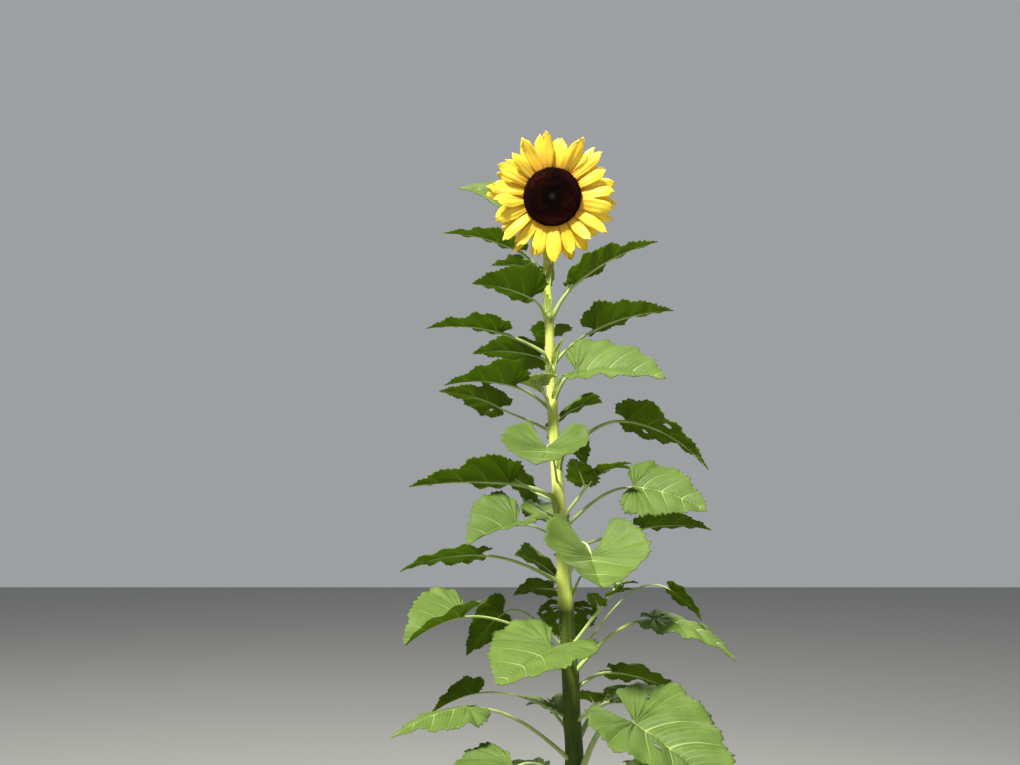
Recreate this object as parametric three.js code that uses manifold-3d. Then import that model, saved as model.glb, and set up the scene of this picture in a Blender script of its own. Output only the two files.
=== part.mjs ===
// A tall garden sunflower, one stem with its leaves, side sprigs and one open head.
// Millimetres, +Z up, origin at the middle of the flat cut under the stem.
// Compass: 0 is +X (right), 90 is +Y (back), 180 is -X (left), 270 is -Y (front).

import * as THREE from "three";
import Module from "manifold-3d";

const wasm = await Module();
wasm.setup();

// Colours of the living plant
const STEM_COLOUR = 0x7f9a3c;
const LEAF_COLOUR = 0x4f7a2c;
const PALE_LEAF_COLOUR = 0x86a44e;
const BRACT_COLOUR = 0x5d7f33;
const RAY_COLOUR = 0xf4bf12;
const DISC_COLOUR = 0x2c0f0a;

// Gap between pieces that grow on each other
const GAP = 0.3;

// Stem: centreline as [height, right, back], and radius as [height, radius]
const STEM_LINE = [
  [0, 0, 0], [60, 0, 0], [400, -8, 3], [800, -24, 5], [1165, -40, 0],
  [1450, -53, -2], [1670, -65, 2], [1800, -68, 3], [1890, -70, 5], [1935, -69, 9],
];
const STEM_RADIUS = [
  [0, 25], [18, 21], [60, 17.5], [400, 16], [800, 14.5], [1165, 12.5],
  [1450, 9.5], [1670, 7.5], [1890, 6.2], [2100, 6],
];
const STEM_SIDES = 10;
const FOOT_RINGS = [0, 8, 18, 34, 60];
const STEM_RING_STEP = 85;
const NECK_RINGS = 7;
const FLARE_LOBES = 5;
const FLARE_DEPTH = 0.16;
const FLARE_FADE = 22;

// Head: place of the disc's face, and the way it looks
const HEAD_CENTRE = new THREE.Vector3(-64, -52, 1972);
const HEAD_NOD = 18;
const HEAD_YAW = -4;
const DISC_RADIUS = 44;
const DISC_DOME = 9;
const HEAD_SIDES = 20;
const PLATE_THICKNESS = 2.4;
const RECEPTACLE_DEPTH = 26;
const NECK_RADIUS = 6;
const NECK_FLARE = 5;
const NECK_BEND_BACK = 16;
const NECK_BEND_OUT = 4;
const RAY_LENGTH = 54;
const RAY_WIDTH = 20.5;
const RAYS_IN_ROW = 20;
const RAY_THICKNESS = 1.1;
const RAY_OUTLINE = [[0, 0.58], [0.45, 1], [0.84, 0.8], [1, 0.28]];
const BRACTS = 13;
const BRACT_LENGTH = 34;
const BRACT_WIDTH = 13;
const BRACT_THICKNESS = 1.4;
const BRACT_OUTLINE = [[0, 0.9], [0.55, 0.9], [1, 0.06]];

// Heights of the head's layers along its own axis, from the disc's rim back to the neck
const DISC_BACK = -PLATE_THICKNESS;
const FRONT_PLATE_TOP = DISC_BACK - GAP;
const BACK_PLATE_TOP = FRONT_PLATE_TOP - PLATE_THICKNESS - GAP;
const RECEPTACLE_TOP = BACK_PLATE_TOP - PLATE_THICKNESS - GAP;
const RECEPTACLE_BACK = RECEPTACLE_TOP - RECEPTACLE_DEPTH;
const NECK_END = RECEPTACLE_BACK - GAP;

// Leaf: shape shared by all, as shares of the length and of the half width
const LEAF_OUTLINE = [
  [-0.10, 0.30], [-0.09, 0.58], [0.0, 0.86], [0.13, 1.0], [0.28, 0.97],
  [0.44, 0.82], [0.6, 0.59], [0.76, 0.34], [0.9, 0.13], [1, 0],
];
const LEAF_ROWS = 6;
const LEAF_COLUMNS = 2;
const LEAF_THICKNESS_SHARE = 0.0125;
const LEAF_THICKNESS_LEAST = 1.6;
const VEIN_SLOPE = 0.75;
const ROW_BOW = 1.25;
const LOBE_STEP = 0.1;
const LOBE_SPAN = 0.45;
const ROOT_SPREAD = 0.06;
const STALK_SIDES = 4;
const STALK_STEPS = 3;
const STALK_FOOT_SHARE = 0.027;
const STALK_END_SHARE = 0.017;
const RIB_SHARE = 0.16;

// Each leaf: height on the stem, compass bearing and length of the stalk, its rise,
// the blade's length and mean pitch, then what sets it apart from a plain leaf.
const LEAVES = [
  { name: "behind_head", height: 1900, toward: 120, stalk: 108, rise: 68,
    blade: 135, pitch: 18, turn: 52, width: 0.62, roll: -60 },
  { name: "top_left", height: 1850, toward: 145, stalk: 90, rise: 52,
    blade: 125, pitch: 12, turn: 40, width: 0.5, roll: -1, fold: 21, curl: 8 },
  { name: "top_back", height: 1822, toward: 95, stalk: 96, rise: 50,
    blade: 112, pitch: 18, turn: 50, width: 0.6, roll: 12 },
  { name: "upper_left", height: 1788, toward: 222, stalk: 50, rise: 42,
    blade: 98, pitch: 5, turn: -18, width: 0.95, roll: 14, fold: 30, curl: 12, full: 0.1 },
  { name: "upper_right", height: 1785, toward: 337, stalk: 74, rise: 56,
    blade: 150, pitch: 28, turn: 23, width: 0.45, roll: -12, fold: 26, curl: 14 },
  { name: "right_shade", height: 1718, toward: 25, stalk: 105, rise: 42,
    blade: 128, pitch: 8, turn: -45, width: 0.62, roll: -14, fold: 28, curl: 12 },
  { name: "left_shade", height: 1735, toward: 190, stalk: 83, rise: 25,
    blade: 116, pitch: -1, turn: 5, width: 0.52, roll: 8, fold: 24, curl: 10 },
  { name: "back_left_high", height: 1702, toward: 112, stalk: 60, rise: 47,
    blade: 120, pitch: 8, turn: 45, width: 0.7, roll: 25 },
  { name: "left_high", height: 1651, toward: 206, stalk: 72, rise: 28,
    blade: 112, pitch: -5, turn: 0, width: 0.85, roll: 8, fold: 26, curl: 12 },
  { name: "left_under", height: 1617, toward: 170, stalk: 92, rise: 28,
    blade: 98, pitch: 12, turn: 25, width: 0.7, roll: 24 },
  { name: "right_bright", height: 1662, toward: 322, stalk: 62, rise: 46,
    blade: 132, pitch: -8, turn: 25, width: 0.95, roll: 40, fold: 26, curl: 16,
    full: 0.3 },
  { name: "right_arch", height: 1578, toward: 5, stalk: 123, rise: 30,
    blade: 145, pitch: -34, turn: -27, width: 0.66, bend: 45, roll: -26, fold: 16,
    curl: 16, full: -0.2 },
  { name: "back_right_high", height: 1602, toward: 75, stalk: 64, rise: 49,
    blade: 112, pitch: 19, turn: -31, width: 0.75, roll: -25 },
  { name: "back_right_mid", height: 1578, toward: 64, stalk: 50, rise: 50,
    blade: 84, pitch: -25, turn: -5, width: 0.8, roll: 10 },
  { name: "front_high", height: 1540, toward: 258, stalk: 106, rise: 25,
    blade: 68, pitch: -26, turn: -5, width: 1.8, fold: 16, lobe: 6, curl: -8, full: 0.35,
    bend: -40, roll: -6 },
  { name: "left_mid", height: 1520, toward: 196, stalk: 76, rise: 18,
    blade: 147, pitch: -3, turn: -6, width: 0.62, roll: 22, fold: 27, curl: 14, bend: 14 },
  { name: "back_left_mid", height: 1515, toward: 140, stalk: 58, rise: 25,
    blade: 100, pitch: 20, turn: 0, width: 0.75, roll: 45 },
  { name: "right_mid", height: 1476, toward: 342, stalk: 122, rise: 30,
    blade: 108, pitch: -20, turn: -4, width: 0.95, roll: 50, full: 0.2 },
  { name: "right_mid_under", height: 1442, toward: 8, stalk: 125, rise: 18,
    blade: 100, pitch: -2, turn: -18, width: 0.75, roll: -20, fold: 20, curl: 12 },
  { name: "left_bright", height: 1460, toward: 214, stalk: 82, rise: 17,
    blade: 80, pitch: -22, turn: -10, width: 1.5, roll: -26, lobe: 1.5, fold: 40,
    full: 0.1 },
  { name: "back_left_inner", height: 1470, toward: 112, stalk: 45, rise: 33,
    blade: 96, pitch: 22, turn: 0, width: 0.75 },
  { name: "front_heart", height: 1448, toward: 284, stalk: 120, rise: -2,
    blade: 80, pitch: -30, turn: -8, width: 1.85, fold: 22, lobe: 6, bend: -40,
    curl: -10, roll: -4, full: 0.35 },
  { name: "left_low", height: 1400, toward: 187, stalk: 128, rise: 20,
    blade: 116, pitch: -12, turn: 4, width: 0.75, roll: 16, fold: 8, curl: 20 },
  { name: "back_left_low", height: 1376, toward: 108, stalk: 55, rise: 44,
    blade: 112, pitch: 14, turn: 15, width: 0.75, roll: 45 },
  { name: "inner_left_low", height: 1374, toward: 146, stalk: 30, rise: 46,
    blade: 70, pitch: -10, turn: 0, width: 0.75, roll: 30 },
  { name: "left_droop", height: 1306, toward: 203, stalk: 167, rise: 20,
    blade: 94, pitch: -20, turn: 14, width: 1.1, bend: 30, roll: -10, fold: 50,
    full: 0.2 },
  { name: "left_shade_low", height: 1312, toward: 166, stalk: 106, rise: 28,
    blade: 80, pitch: -46, turn: 34, width: 1.12, roll: 55, fold: 10, curl: 20, lobe: 1 },
  { name: "front_broad", height: 1304, toward: 250, stalk: 84, rise: 14,
    blade: 101, pitch: -21, turn: -26, width: 1.42, fold: 22, lobe: 3.6, roll: -12,
    curl: 20, bend: 16, full: 0.3 },
  { name: "back_low", height: 1334, toward: 84, stalk: 50, rise: 45,
    blade: 76, pitch: -60, turn: 0, width: 1.12 },
  { name: "right_long", height: 1277, toward: 336, stalk: 146, rise: 34,
    blade: 120, pitch: -26, turn: 6, width: 0.6, bend: 50, roll: 14, lobe: 1.6, fold: 8 },
  { name: "right_dark", height: 1257, toward: 16, stalk: 67, rise: 22,
    blade: 112, pitch: -20, turn: -4, width: 0.75, roll: -20 },
  { name: "left_foot_bright", height: 1165, toward: 212, stalk: 190, rise: 28,
    blade: 108, pitch: -13, turn: 0, width: 0.8, roll: 0, lobe: 2, fold: -8, curl: 14 },
  { name: "front_great", height: 1142, toward: 298, stalk: 165, rise: 37,
    blade: 168, pitch: -32, turn: 20, width: 0.95, fold: 28, lobe: 2.6, roll: 14 },
  { name: "front_left_low", height: 1125, toward: 236, stalk: 168, rise: 24,
    blade: 132, pitch: -22, turn: 0, width: 0.85, roll: -20 },
  { name: "back_high", height: 1770, toward: 80, stalk: 60, rise: 30,
    blade: 92, pitch: -10, turn: 20, width: 0.7 },
  { name: "back_right_low", height: 1404, toward: 62, stalk: 80, rise: 26,
    blade: 132, pitch: -6, turn: -8, width: 0.85 },
  { name: "back_right_foot", height: 1186, toward: 52, stalk: 105, rise: 26,
    blade: 160, pitch: -18, turn: -6, width: 0.88 },
  { name: "back_left_foot", height: 1112, toward: 150, stalk: 70, rise: 32,
    blade: 130, pitch: -12, turn: 20, width: 0.85 },
  { name: "shoot_dark", height: 1290, toward: 338, stalk: 180, rise: 37,
    blade: 58, pitch: -45, turn: 0, width: 0.9, roll: -30 },
  { name: "left_foot_dark", height: 1220, toward: 194, stalk: 138, rise: 18,
    blade: 68, pitch: -20, turn: 0, width: 0.95, fold: 34, roll: 26, curl: 16 },
];

// Below the photograph's edge the leaves follow the stem's own spiral
const LOWER_LEAVES = 10;
const LOWER_TOP = 1050;
const LOWER_BOTTOM = 290;
const LOWER_FIRST_BEARING = 28;
const GOLDEN_ANGLE = 137.5;

// Small side sprigs in the leaf axils
const SPRIGS = [
  { name: "curled", height: 1644, toward: 240, length: 58, rise: 46,
    leaf: 40, width: 0.95, fold: 38 },
  { name: "right_buds", height: 1490, toward: 320, length: 96, rise: 45,
    leaf: 72, width: 0.6, fold: 24 },
  { name: "right_shoot", height: 1312, toward: 316, length: 124, rise: 46,
    leaf: 44, width: 0.55, fold: 24 },
  { name: "low_right", height: 1215, toward: 318, length: 74, rise: 38,
    leaf: 52, width: 0.55, fold: 24 },
  { name: "low_left", height: 1200, toward: 146, length: 52, rise: 42,
    leaf: 48, width: 0.55, fold: 24 },
];
const SPRIG_LEAVES = 3;
const SPRIG_RADIUS = 2.6;

const degrees = THREE.MathUtils.degToRad;
const UP = new THREE.Vector3(0, 0, 1);

function bearing(angle) {
  return new THREE.Vector3(Math.cos(degrees(angle)), Math.sin(degrees(angle)), 0);
}

function heading(toward, rise) {
  return bearing(toward).multiplyScalar(Math.cos(degrees(rise))).addScaledVector(UP, Math.sin(degrees(rise)));
}

// Value of a [key, value] list between its entries
function tableValue(table, key) {
  const next = table.findIndex((entry) => entry[0] >= key);
  if (next <= 0) return next === 0 ? table[0][1] : table[table.length - 1][1];
  const [lowKey, low] = table[next - 1];
  const [highKey, high] = table[next];
  return low + ((high - low) * (key - lowKey)) / (highKey - lowKey);
}

// Closed solid from triangles that may repeat their corners
class Facets {
  constructor() {
    this.points = [];
    this.keys = new Map();
    this.faces = [];
  }

  corner(point) {
    const key = [point.x, point.y, point.z].map((value) => Math.round(value * 1e4)).join();
    if (!this.keys.has(key)) {
      this.keys.set(key, this.points.length);
      this.points.push(point);
    }
    return this.keys.get(key);
  }

  triangle(a, b, c) {
    const corners = [this.corner(a), this.corner(b), this.corner(c)];
    if (new Set(corners).size === 3) this.faces.push(corners);
  }

  quad(a, b, c, d) {
    this.triangle(a, b, c);
    this.triangle(a, c, d);
  }

  solid() {
    const vertProperties = new Float32Array(this.points.flatMap((point) => [point.x, point.y, point.z]));
    const triVerts = new Uint32Array(this.faces.flat());
    return new wasm.Manifold(new wasm.Mesh({ numProp: 3, vertProperties, triVerts }));
  }
}

// Loft through rings of equal count, each a list of points that runs counter-clockwise round the path
function loft(rings) {
  const facets = new Facets();
  const count = rings[0].length;
  for (let ring = 0; ring + 1 < rings.length; ring += 1) {
    for (let side = 0; side < count; side += 1) {
      const next = (side + 1) % count;
      facets.quad(rings[ring][side], rings[ring][next], rings[ring + 1][next], rings[ring + 1][side]);
    }
  }
  const last = rings[rings.length - 1];
  for (let side = 1; side + 1 < count; side += 1) {
    facets.triangle(rings[0][0], rings[0][side + 1], rings[0][side]);
    facets.triangle(last[0], last[side], last[side + 1]);
  }
  return facets.solid();
}

function ring(centre, tangent, radii, reference) {
  const right = reference.clone().addScaledVector(tangent, -reference.dot(tangent)).normalize();
  const back = new THREE.Vector3().crossVectors(tangent, right);
  return radii.map((radius, side) => {
    const angle = (2 * Math.PI * side) / radii.length;
    return centre.clone()
      .addScaledVector(right, radius * Math.cos(angle))
      .addScaledVector(back, radius * Math.sin(angle));
  });
}

// Thin sheet with thickness, from a grid of middle points and their normals
function sheet(grid, normals, thickness) {
  const facets = new Facets();
  const shifted = (sign) => grid.map((row, i) => row.map((point, j) => (
    point.clone().addScaledVector(normals[i][j], (sign * thickness) / 2)
  )));
  const top = shifted(1);
  const under = shifted(-1);
  const lastRow = grid.length - 1;
  const lastColumn = grid[0].length - 1;
  for (let i = 0; i < lastRow; i += 1) {
    for (let j = 0; j < lastColumn; j += 1) {
      facets.quad(top[i][j], top[i + 1][j], top[i + 1][j + 1], top[i][j + 1]);
      facets.quad(under[i][j], under[i][j + 1], under[i + 1][j + 1], under[i + 1][j]);
    }
    facets.quad(top[i][0], under[i][0], under[i + 1][0], top[i + 1][0]);
    facets.quad(top[i][lastColumn], top[i + 1][lastColumn], under[i + 1][lastColumn], under[i][lastColumn]);
  }
  for (let j = 0; j < lastColumn; j += 1) {
    facets.quad(top[0][j], top[0][j + 1], under[0][j + 1], under[0][j]);
    facets.quad(top[lastRow][j], under[lastRow][j], under[lastRow][j + 1], top[lastRow][j + 1]);
  }
  return facets.solid();
}

// Point on a circular arc: its run and rise after a distance, as the slope turns evenly
function arc(distance, length, startSlope, endSlope) {
  const start = degrees(startSlope);
  const turn = (degrees(endSlope) - start) / length;
  if (Math.abs(turn) < 1e-7 || distance < 0) {
    return [distance * Math.cos(start), distance * Math.sin(start), start];
  }
  const slope = start + turn * distance;
  return [(Math.sin(slope) - Math.sin(start)) / turn, (Math.cos(start) - Math.cos(slope)) / turn, slope];
}

// Stem

const headAxis = new THREE.Vector3(0, -Math.cos(degrees(HEAD_NOD)), -Math.sin(degrees(HEAD_NOD)))
  .applyAxisAngle(UP, degrees(HEAD_YAW));
const neckEnd = HEAD_CENTRE.clone().addScaledVector(headAxis, NECK_END);

function stemCurve() {
  const points = STEM_LINE.map(([height, right, back]) => new THREE.Vector3(right, back, height));
  const bendTop = neckEnd.clone().addScaledVector(headAxis, -NECK_BEND_BACK);
  bendTop.y += NECK_BEND_OUT;
  points.push(bendTop, neckEnd);
  return new THREE.CatmullRomCurve3(points, false, "centripetal");
}

const stemPath = stemCurve();
const stemSamples = stemPath.getPoints(600);

// Middle of the stem at a height
function stemCentre(height) {
  const next = stemSamples.findIndex((point) => point.z >= height);
  const low = stemSamples[Math.max(0, next - 1)];
  const high = stemSamples[next];
  const share = high.z > low.z ? (height - low.z) / (high.z - low.z) : 0;
  return low.clone().lerp(high, share);
}

function stemRadii(height, grow) {
  const radius = tableValue(STEM_RADIUS, height) + grow;
  const flare = FLARE_DEPTH * Math.exp(-height / FLARE_FADE);
  return Array.from({ length: STEM_SIDES }, (_, side) => {
    const angle = (2 * Math.PI * side) / STEM_SIDES;
    return radius * (1 + flare * Math.cos(FLARE_LOBES * angle));
  });
}

function makeStem(grow) {
  const right = new THREE.Vector3(1, 0, 0);
  const straightTop = STEM_LINE[STEM_LINE.length - 2][0];
  const heights = [...FOOT_RINGS];
  const steps = Math.round((straightTop - FOOT_RINGS.at(-1)) / STEM_RING_STEP);
  for (let step = 1; step <= steps; step += 1) {
    heights.push(FOOT_RINGS.at(-1) + ((straightTop - FOOT_RINGS.at(-1)) * step) / steps);
  }
  const rings = heights.map((height) => ring(stemCentre(height), UP, stemRadii(height, grow), right));
  const neckStart = stemSamples.findIndex((point) => point.z >= straightTop) / (stemSamples.length - 1);
  for (let step = 1; step <= NECK_RINGS; step += 1) {
    const share = neckStart + ((1 - neckStart) * step) / NECK_RINGS;
    const tangent = step === NECK_RINGS ? headAxis : stemPath.getTangent(share);
    const radius = NECK_RADIUS + NECK_FLARE * (step / NECK_RINGS) ** 6 + grow;
    const radii = new Array(STEM_SIDES).fill(radius);
    rings.push(ring(stemPath.getPoint(share), tangent, radii, right));
  }
  return loft(rings);
}

const stemWithGap = makeStem(GAP);

// Leaf

const outlineCurve = new THREE.SplineCurve(
  LEAF_OUTLINE.map(([along, across]) => new THREE.Vector2(along, across)),
);

// Frame of a blade: where it starts, and the ways it runs, widens and faces
function bladeFrame(leaf, base) {
  const toward = leaf.toward + leaf.turn;
  return {
    base,
    forward: bearing(toward),
    side: bearing(toward + 90),
    length: leaf.blade,
    halfWidth: (leaf.blade * leaf.width) / 2,
    startPitch: leaf.pitch + leaf.bend / 2,
    endPitch: leaf.pitch - leaf.bend / 2,
    roll: degrees(leaf.roll),
    fold: leaf.fold,
    curl: leaf.curl,
    wave: leaf.wave * leaf.blade,
    phase: leaf.toward,
    lobe: leaf.lobe,
    full: leaf.full,
  };
}

// Point of the blade's middle surface, from distances along and across its midrib
function bladePoint(frame, along, across) {
  const [run, rise, slope] = arc(along, frame.length, frame.startPitch, frame.endPitch);
  const tangentUp = UP.clone().multiplyScalar(Math.cos(slope));
  tangentUp.addScaledVector(frame.forward, -Math.sin(slope));
  const reach = Math.abs(across);
  const share = reach / frame.halfWidth;
  const [out, lift] = arc(reach, frame.halfWidth, frame.fold, frame.fold - frame.curl);
  const ripple = Math.sin(degrees(frame.phase) + (along / frame.length) * 11 + Math.sign(across) * 1.3);
  const height = lift + frame.wave * ripple * share * share;
  const sideways = Math.sign(across) * out;
  const rolledSide = sideways * Math.cos(frame.roll) - height * Math.sin(frame.roll);
  const rolledUp = sideways * Math.sin(frame.roll) + height * Math.cos(frame.roll);
  return frame.base.clone()
    .addScaledVector(frame.forward, run)
    .addScaledVector(UP, rise)
    .addScaledVector(frame.side, rolledSide)
    .addScaledVector(tangentUp, rolledUp);
}

function bladeNormal(frame, along, across) {
  const step = frame.length / 200;
  const alongWay = bladePoint(frame, along + step, across).sub(bladePoint(frame, along - step, across));
  const acrossWay = bladePoint(frame, along, across + step).sub(bladePoint(frame, along, across - step));
  return alongWay.cross(acrossWay).normalize();
}

// Place on the flat leaf: a row runs like a side vein from the midrib out to the edge
function flatPlace(frame, rowShare, acrossShare) {
  const edge = outlineCurve.getPoint(rowShare);
  const near = Math.max(0, 1 - rowShare / LOBE_SPAN);
  edge.x -= LOBE_STEP * (frame.lobe - 1) * near * near * (3 - 2 * near);
  edge.y = Math.max(0, edge.y) ** (1 - frame.full);
  const straight = edge.x - (VEIN_SLOPE * edge.y * frame.halfWidth) / frame.length;
  const root = Math.max(rowShare * ROOT_SPREAD, straight * (1 - ROOT_SPREAD * (1 - rowShare)));
  const out = Math.abs(acrossShare);
  const along = root + (edge.x - root) * out ** ROW_BOW;
  return [along * frame.length, edge.y * frame.halfWidth * acrossShare];
}

function bladeSolid(frame, thickness, rows, columns) {
  const grid = [];
  const normals = [];
  for (let row = 0; row <= rows; row += 1) {
    const places = [];
    for (let column = -columns; column <= columns; column += 1) {
      places.push(flatPlace(frame, row / rows, column / columns));
    }
    grid.push(places.map(([along, across]) => bladePoint(frame, along, across)));
    normals.push(places.map(([along, across]) => bladeNormal(frame, along, across)));
  }
  const tip = normals[rows][columns];
  normals[rows] = normals[rows].map(() => tip);
  return sheet(grid, normals, thickness);
}

// Leaf stalk from the stem's middle to the blade, running on below it as the midrib
function stalkSolid(start, leaf, frame, thickness) {
  const startWay = heading(leaf.toward, leaf.rise + leaf.arch);
  const endWay = heading(leaf.toward + leaf.turn, frame.startPitch);
  const span = start.distanceTo(frame.base) / 3;
  const curve = new THREE.CubicBezierCurve3(
    start,
    start.clone().addScaledVector(startWay, span),
    frame.base.clone().addScaledVector(endWay, -span),
    frame.base,
  );
  const side = new THREE.Vector3().crossVectors(heading(leaf.toward, leaf.rise), UP).negate().normalize();
  const footRadius = leaf.blade * STALK_FOOT_SHARE;
  const endRadius = leaf.blade * STALK_END_SHARE;
  const rings = [];
  for (let step = 0; step <= leaf.stalkSteps; step += 1) {
    const share = step / leaf.stalkSteps;
    const radius = footRadius + (endRadius - footRadius) * share;
    const centre = curve.getPoint(share);
    centre.z -= share * (thickness / 2 + endRadius * 0.3);
    rings.push(ring(centre, curve.getTangent(share), new Array(STALK_SIDES).fill(radius), side));
  }
  const ribEnd = bladePoint(frame, RIB_SHARE * leaf.blade, 0);
  ribEnd.z -= thickness / 2;
  rings.push(ring(ribEnd, endWay, new Array(STALK_SIDES).fill(endRadius * 0.45), side));
  return loft(rings);
}

// What a leaf is like where its entry says nothing: angles in degrees, the rest as shares.
// full makes the blade broader towards its tip, and lobe draws its foot back past the stalk.
const PLAIN_LEAF = {
  turn: 0, width: 0.8, bend: 28, fold: 14, curl: 26, roll: 0, arch: 12,
  wave: 0.02, lobe: 1, full: 0, stalkSteps: STALK_STEPS,
};

function leafSolid(spec, start, rows, columns) {
  const leaf = { ...PLAIN_LEAF, ...spec };
  const base = start.clone().addScaledVector(heading(leaf.toward, leaf.rise), leaf.stalk);
  const frame = bladeFrame(leaf, base);
  const thickness = Math.max(LEAF_THICKNESS_LEAST, LEAF_THICKNESS_SHARE * leaf.blade);
  const blade = bladeSolid(frame, thickness, rows, columns);
  return blade.add(stalkSolid(start, leaf, frame, thickness));
}

function stemLeafSolid(leaf) {
  return leafSolid(leaf, stemCentre(leaf.height), LEAF_ROWS, LEAF_COLUMNS).subtract(stemWithGap);
}

function lowerLeaf(index) {
  const share = index / (LOWER_LEAVES - 1);
  return {
    name: `lower_${String(index + 1).padStart(2, "0")}`,
    height: LOWER_TOP + (LOWER_BOTTOM - LOWER_TOP) * share,
    toward: (LOWER_FIRST_BEARING + GOLDEN_ANGLE * index) % 360,
    stalk: 170 - 40 * share,
    rise: 26 - 12 * share,
    blade: 215 + 35 * Math.sin(Math.PI * (0.25 + 0.75 * share)),
    pitch: -24 - 14 * share,
    width: 0.92,
    bend: 46,
    curl: 34,
  };
}

// Sprig: a short shoot with small leaves round its tip
function sprigSolid(sprig) {
  const start = stemCentre(sprig.height);
  const way = heading(sprig.toward, sprig.rise);
  const side = bearing(sprig.toward + 90);
  const place = (share) => start.clone().addScaledVector(way, sprig.length * share);
  const rings = [0, 1].map((share) => (
    ring(place(share), way, new Array(STALK_SIDES).fill(SPRIG_RADIUS * (1 - 0.35 * share)), side)
  ));
  let solid = loft(rings);
  for (let index = 0; index < SPRIG_LEAVES; index += 1) {
    const small = {
      toward: sprig.toward + 70 * (index - (SPRIG_LEAVES - 1) / 2),
      stalk: 8,
      rise: 40,
      blade: sprig.leaf * (1 - 0.12 * index),
      pitch: 24 - 10 * index,
      width: sprig.width,
      fold: sprig.fold,
      stalkSteps: 1,
    };
    solid = solid.add(leafSolid(small, place(0.66 + 0.15 * index), 3, 1));
  }
  return solid.subtract(stemWithGap);
}

// Head, in a frame whose +Z is the way the flower looks

function latheSolid(profile, segments) {
  const corners = profile.map(([radius, height]) => new THREE.Vector2(radius, height));
  const geometry = new THREE.LatheGeometry(corners, segments);
  geometry.rotateX(Math.PI / 2);
  const position = geometry.getAttribute("position");
  const index = geometry.getIndex();
  const facets = new Facets();
  const corner = (n) => new THREE.Vector3().fromBufferAttribute(position, index.getX(n));
  for (let n = 0; n < index.count; n += 3) {
    facets.triangle(corner(n), corner(n + 1), corner(n + 2));
  }
  return facets.solid();
}

function discSolid() {
  const profile = [[0, DISC_BACK], [DISC_RADIUS - 1, DISC_BACK], [DISC_RADIUS, 0]];
  for (const share of [0.8, 0.5, 0.2]) {
    profile.push([DISC_RADIUS * share, DISC_DOME * (1 - share ** 2) - 3 * Math.max(0, 0.45 - share)]);
  }
  profile.push([0, DISC_DOME - 3]);
  return latheSolid(profile, HEAD_SIDES);
}

// Sheet on a blade's frame, from its outline as shares of the length and of the half width
function stripSheet(frame, outline, thickness) {
  const place = (pick) => outline.map(([along, across]) => [-1, 0, 1].map((side) => (
    pick(frame, along * frame.length, side * across * frame.halfWidth)
  )));
  return sheet(place(bladePoint), place(bladeNormal), thickness);
}

function raySheet(angle, length, width, foot, lift, end) {
  const frame = {
    base: new THREE.Vector3(0, 0, foot).addScaledVector(bearing(angle), DISC_RADIUS - 4),
    forward: bearing(angle),
    side: bearing(angle + 90),
    length,
    halfWidth: width / 2,
    startPitch: lift,
    endPitch: end,
    roll: 0,
    fold: 8,
    curl: 30,
    wave: 0,
    phase: angle,
  };
  return stripSheet(frame, RAY_OUTLINE, RAY_THICKNESS);
}

// One row of rays, fused to the plate that carries them
function rayRow(top, offset, lift, end) {
  const under = top - PLATE_THICKNESS;
  let solid = latheSolid([[0, under], [DISC_RADIUS, under], [DISC_RADIUS, top], [0, top]], HEAD_SIDES);
  for (let index = 0; index < RAYS_IN_ROW; index += 1) {
    const jitter = Math.sin(index * 12.9 + offset * 7.1);
    const angle = (360 * (index + offset)) / RAYS_IN_ROW + 3 * jitter;
    const length = RAY_LENGTH * (1 + 0.11 * Math.sin(index * 4.3 + offset));
    const width = RAY_WIDTH * (1 + 0.16 * Math.sin(index * 5.1 + offset * 2));
    const sway = 4 * Math.sin(index * 2.7 + offset * 3);
    solid = solid.add(raySheet(angle, length, width, top - PLATE_THICKNESS / 2, lift + sway, end + sway));
  }
  return solid;
}

function receptacleSolid() {
  const profile = [
    [0, RECEPTACLE_BACK], [NECK_RADIUS + 3, RECEPTACLE_BACK],
    [NECK_RADIUS + 14, RECEPTACLE_BACK + 5], [DISC_RADIUS - 6, RECEPTACLE_BACK + 13],
    [DISC_RADIUS, RECEPTACLE_TOP - 5], [DISC_RADIUS - 1, RECEPTACLE_TOP], [0, RECEPTACLE_TOP],
  ];
  let solid = latheSolid(profile, HEAD_SIDES);
  for (let index = 0; index < BRACTS; index += 1) {
    const angle = (360 * index) / BRACTS;
    solid = solid.add(bractSheet(angle, index % 2));
  }
  return solid;
}

function bractSheet(angle, row) {
  const frame = {
    base: new THREE.Vector3(0, 0, RECEPTACLE_TOP - 4 - 5 * row)
      .addScaledVector(bearing(angle), DISC_RADIUS - 5 - 4 * row),
    forward: bearing(angle),
    side: bearing(angle + 90),
    length: BRACT_LENGTH,
    halfWidth: BRACT_WIDTH / 2,
    startPitch: -4 - 16 * row,
    endPitch: -16 - 22 * row,
    roll: 0,
    fold: -6,
    curl: 14,
    wave: 0,
    phase: angle,
  };
  return stripSheet(frame, BRACT_OUTLINE, BRACT_THICKNESS);
}

// Outer skin of the largest body: fills pockets that joining seals, and drops loose scraps
function mainBody(solid) {
  return solid.decompose().reduce((main, shell) => (shell.volume() > main.volume() ? shell : main));
}

// Scene graph

const plant = new THREE.Group();
const head = new THREE.Group();
head.position.copy(HEAD_CENTRE);
head.quaternion.setFromUnitVectors(UP, headAxis);
plant.add(head);

function addMesh(group, name, solid, colour, roughness) {
  const result = mainBody(solid).getMesh();
  const geometry = new THREE.BufferGeometry();
  geometry.setAttribute("position", new THREE.BufferAttribute(result.vertProperties, result.numProp));
  geometry.setIndex(new THREE.BufferAttribute(result.triVerts, 1));
  const material = new THREE.MeshStandardMaterial({ color: colour, roughness, metalness: 0 });
  const mesh = new THREE.Mesh(geometry, material);
  mesh.name = name;
  group.add(mesh);
}

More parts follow.
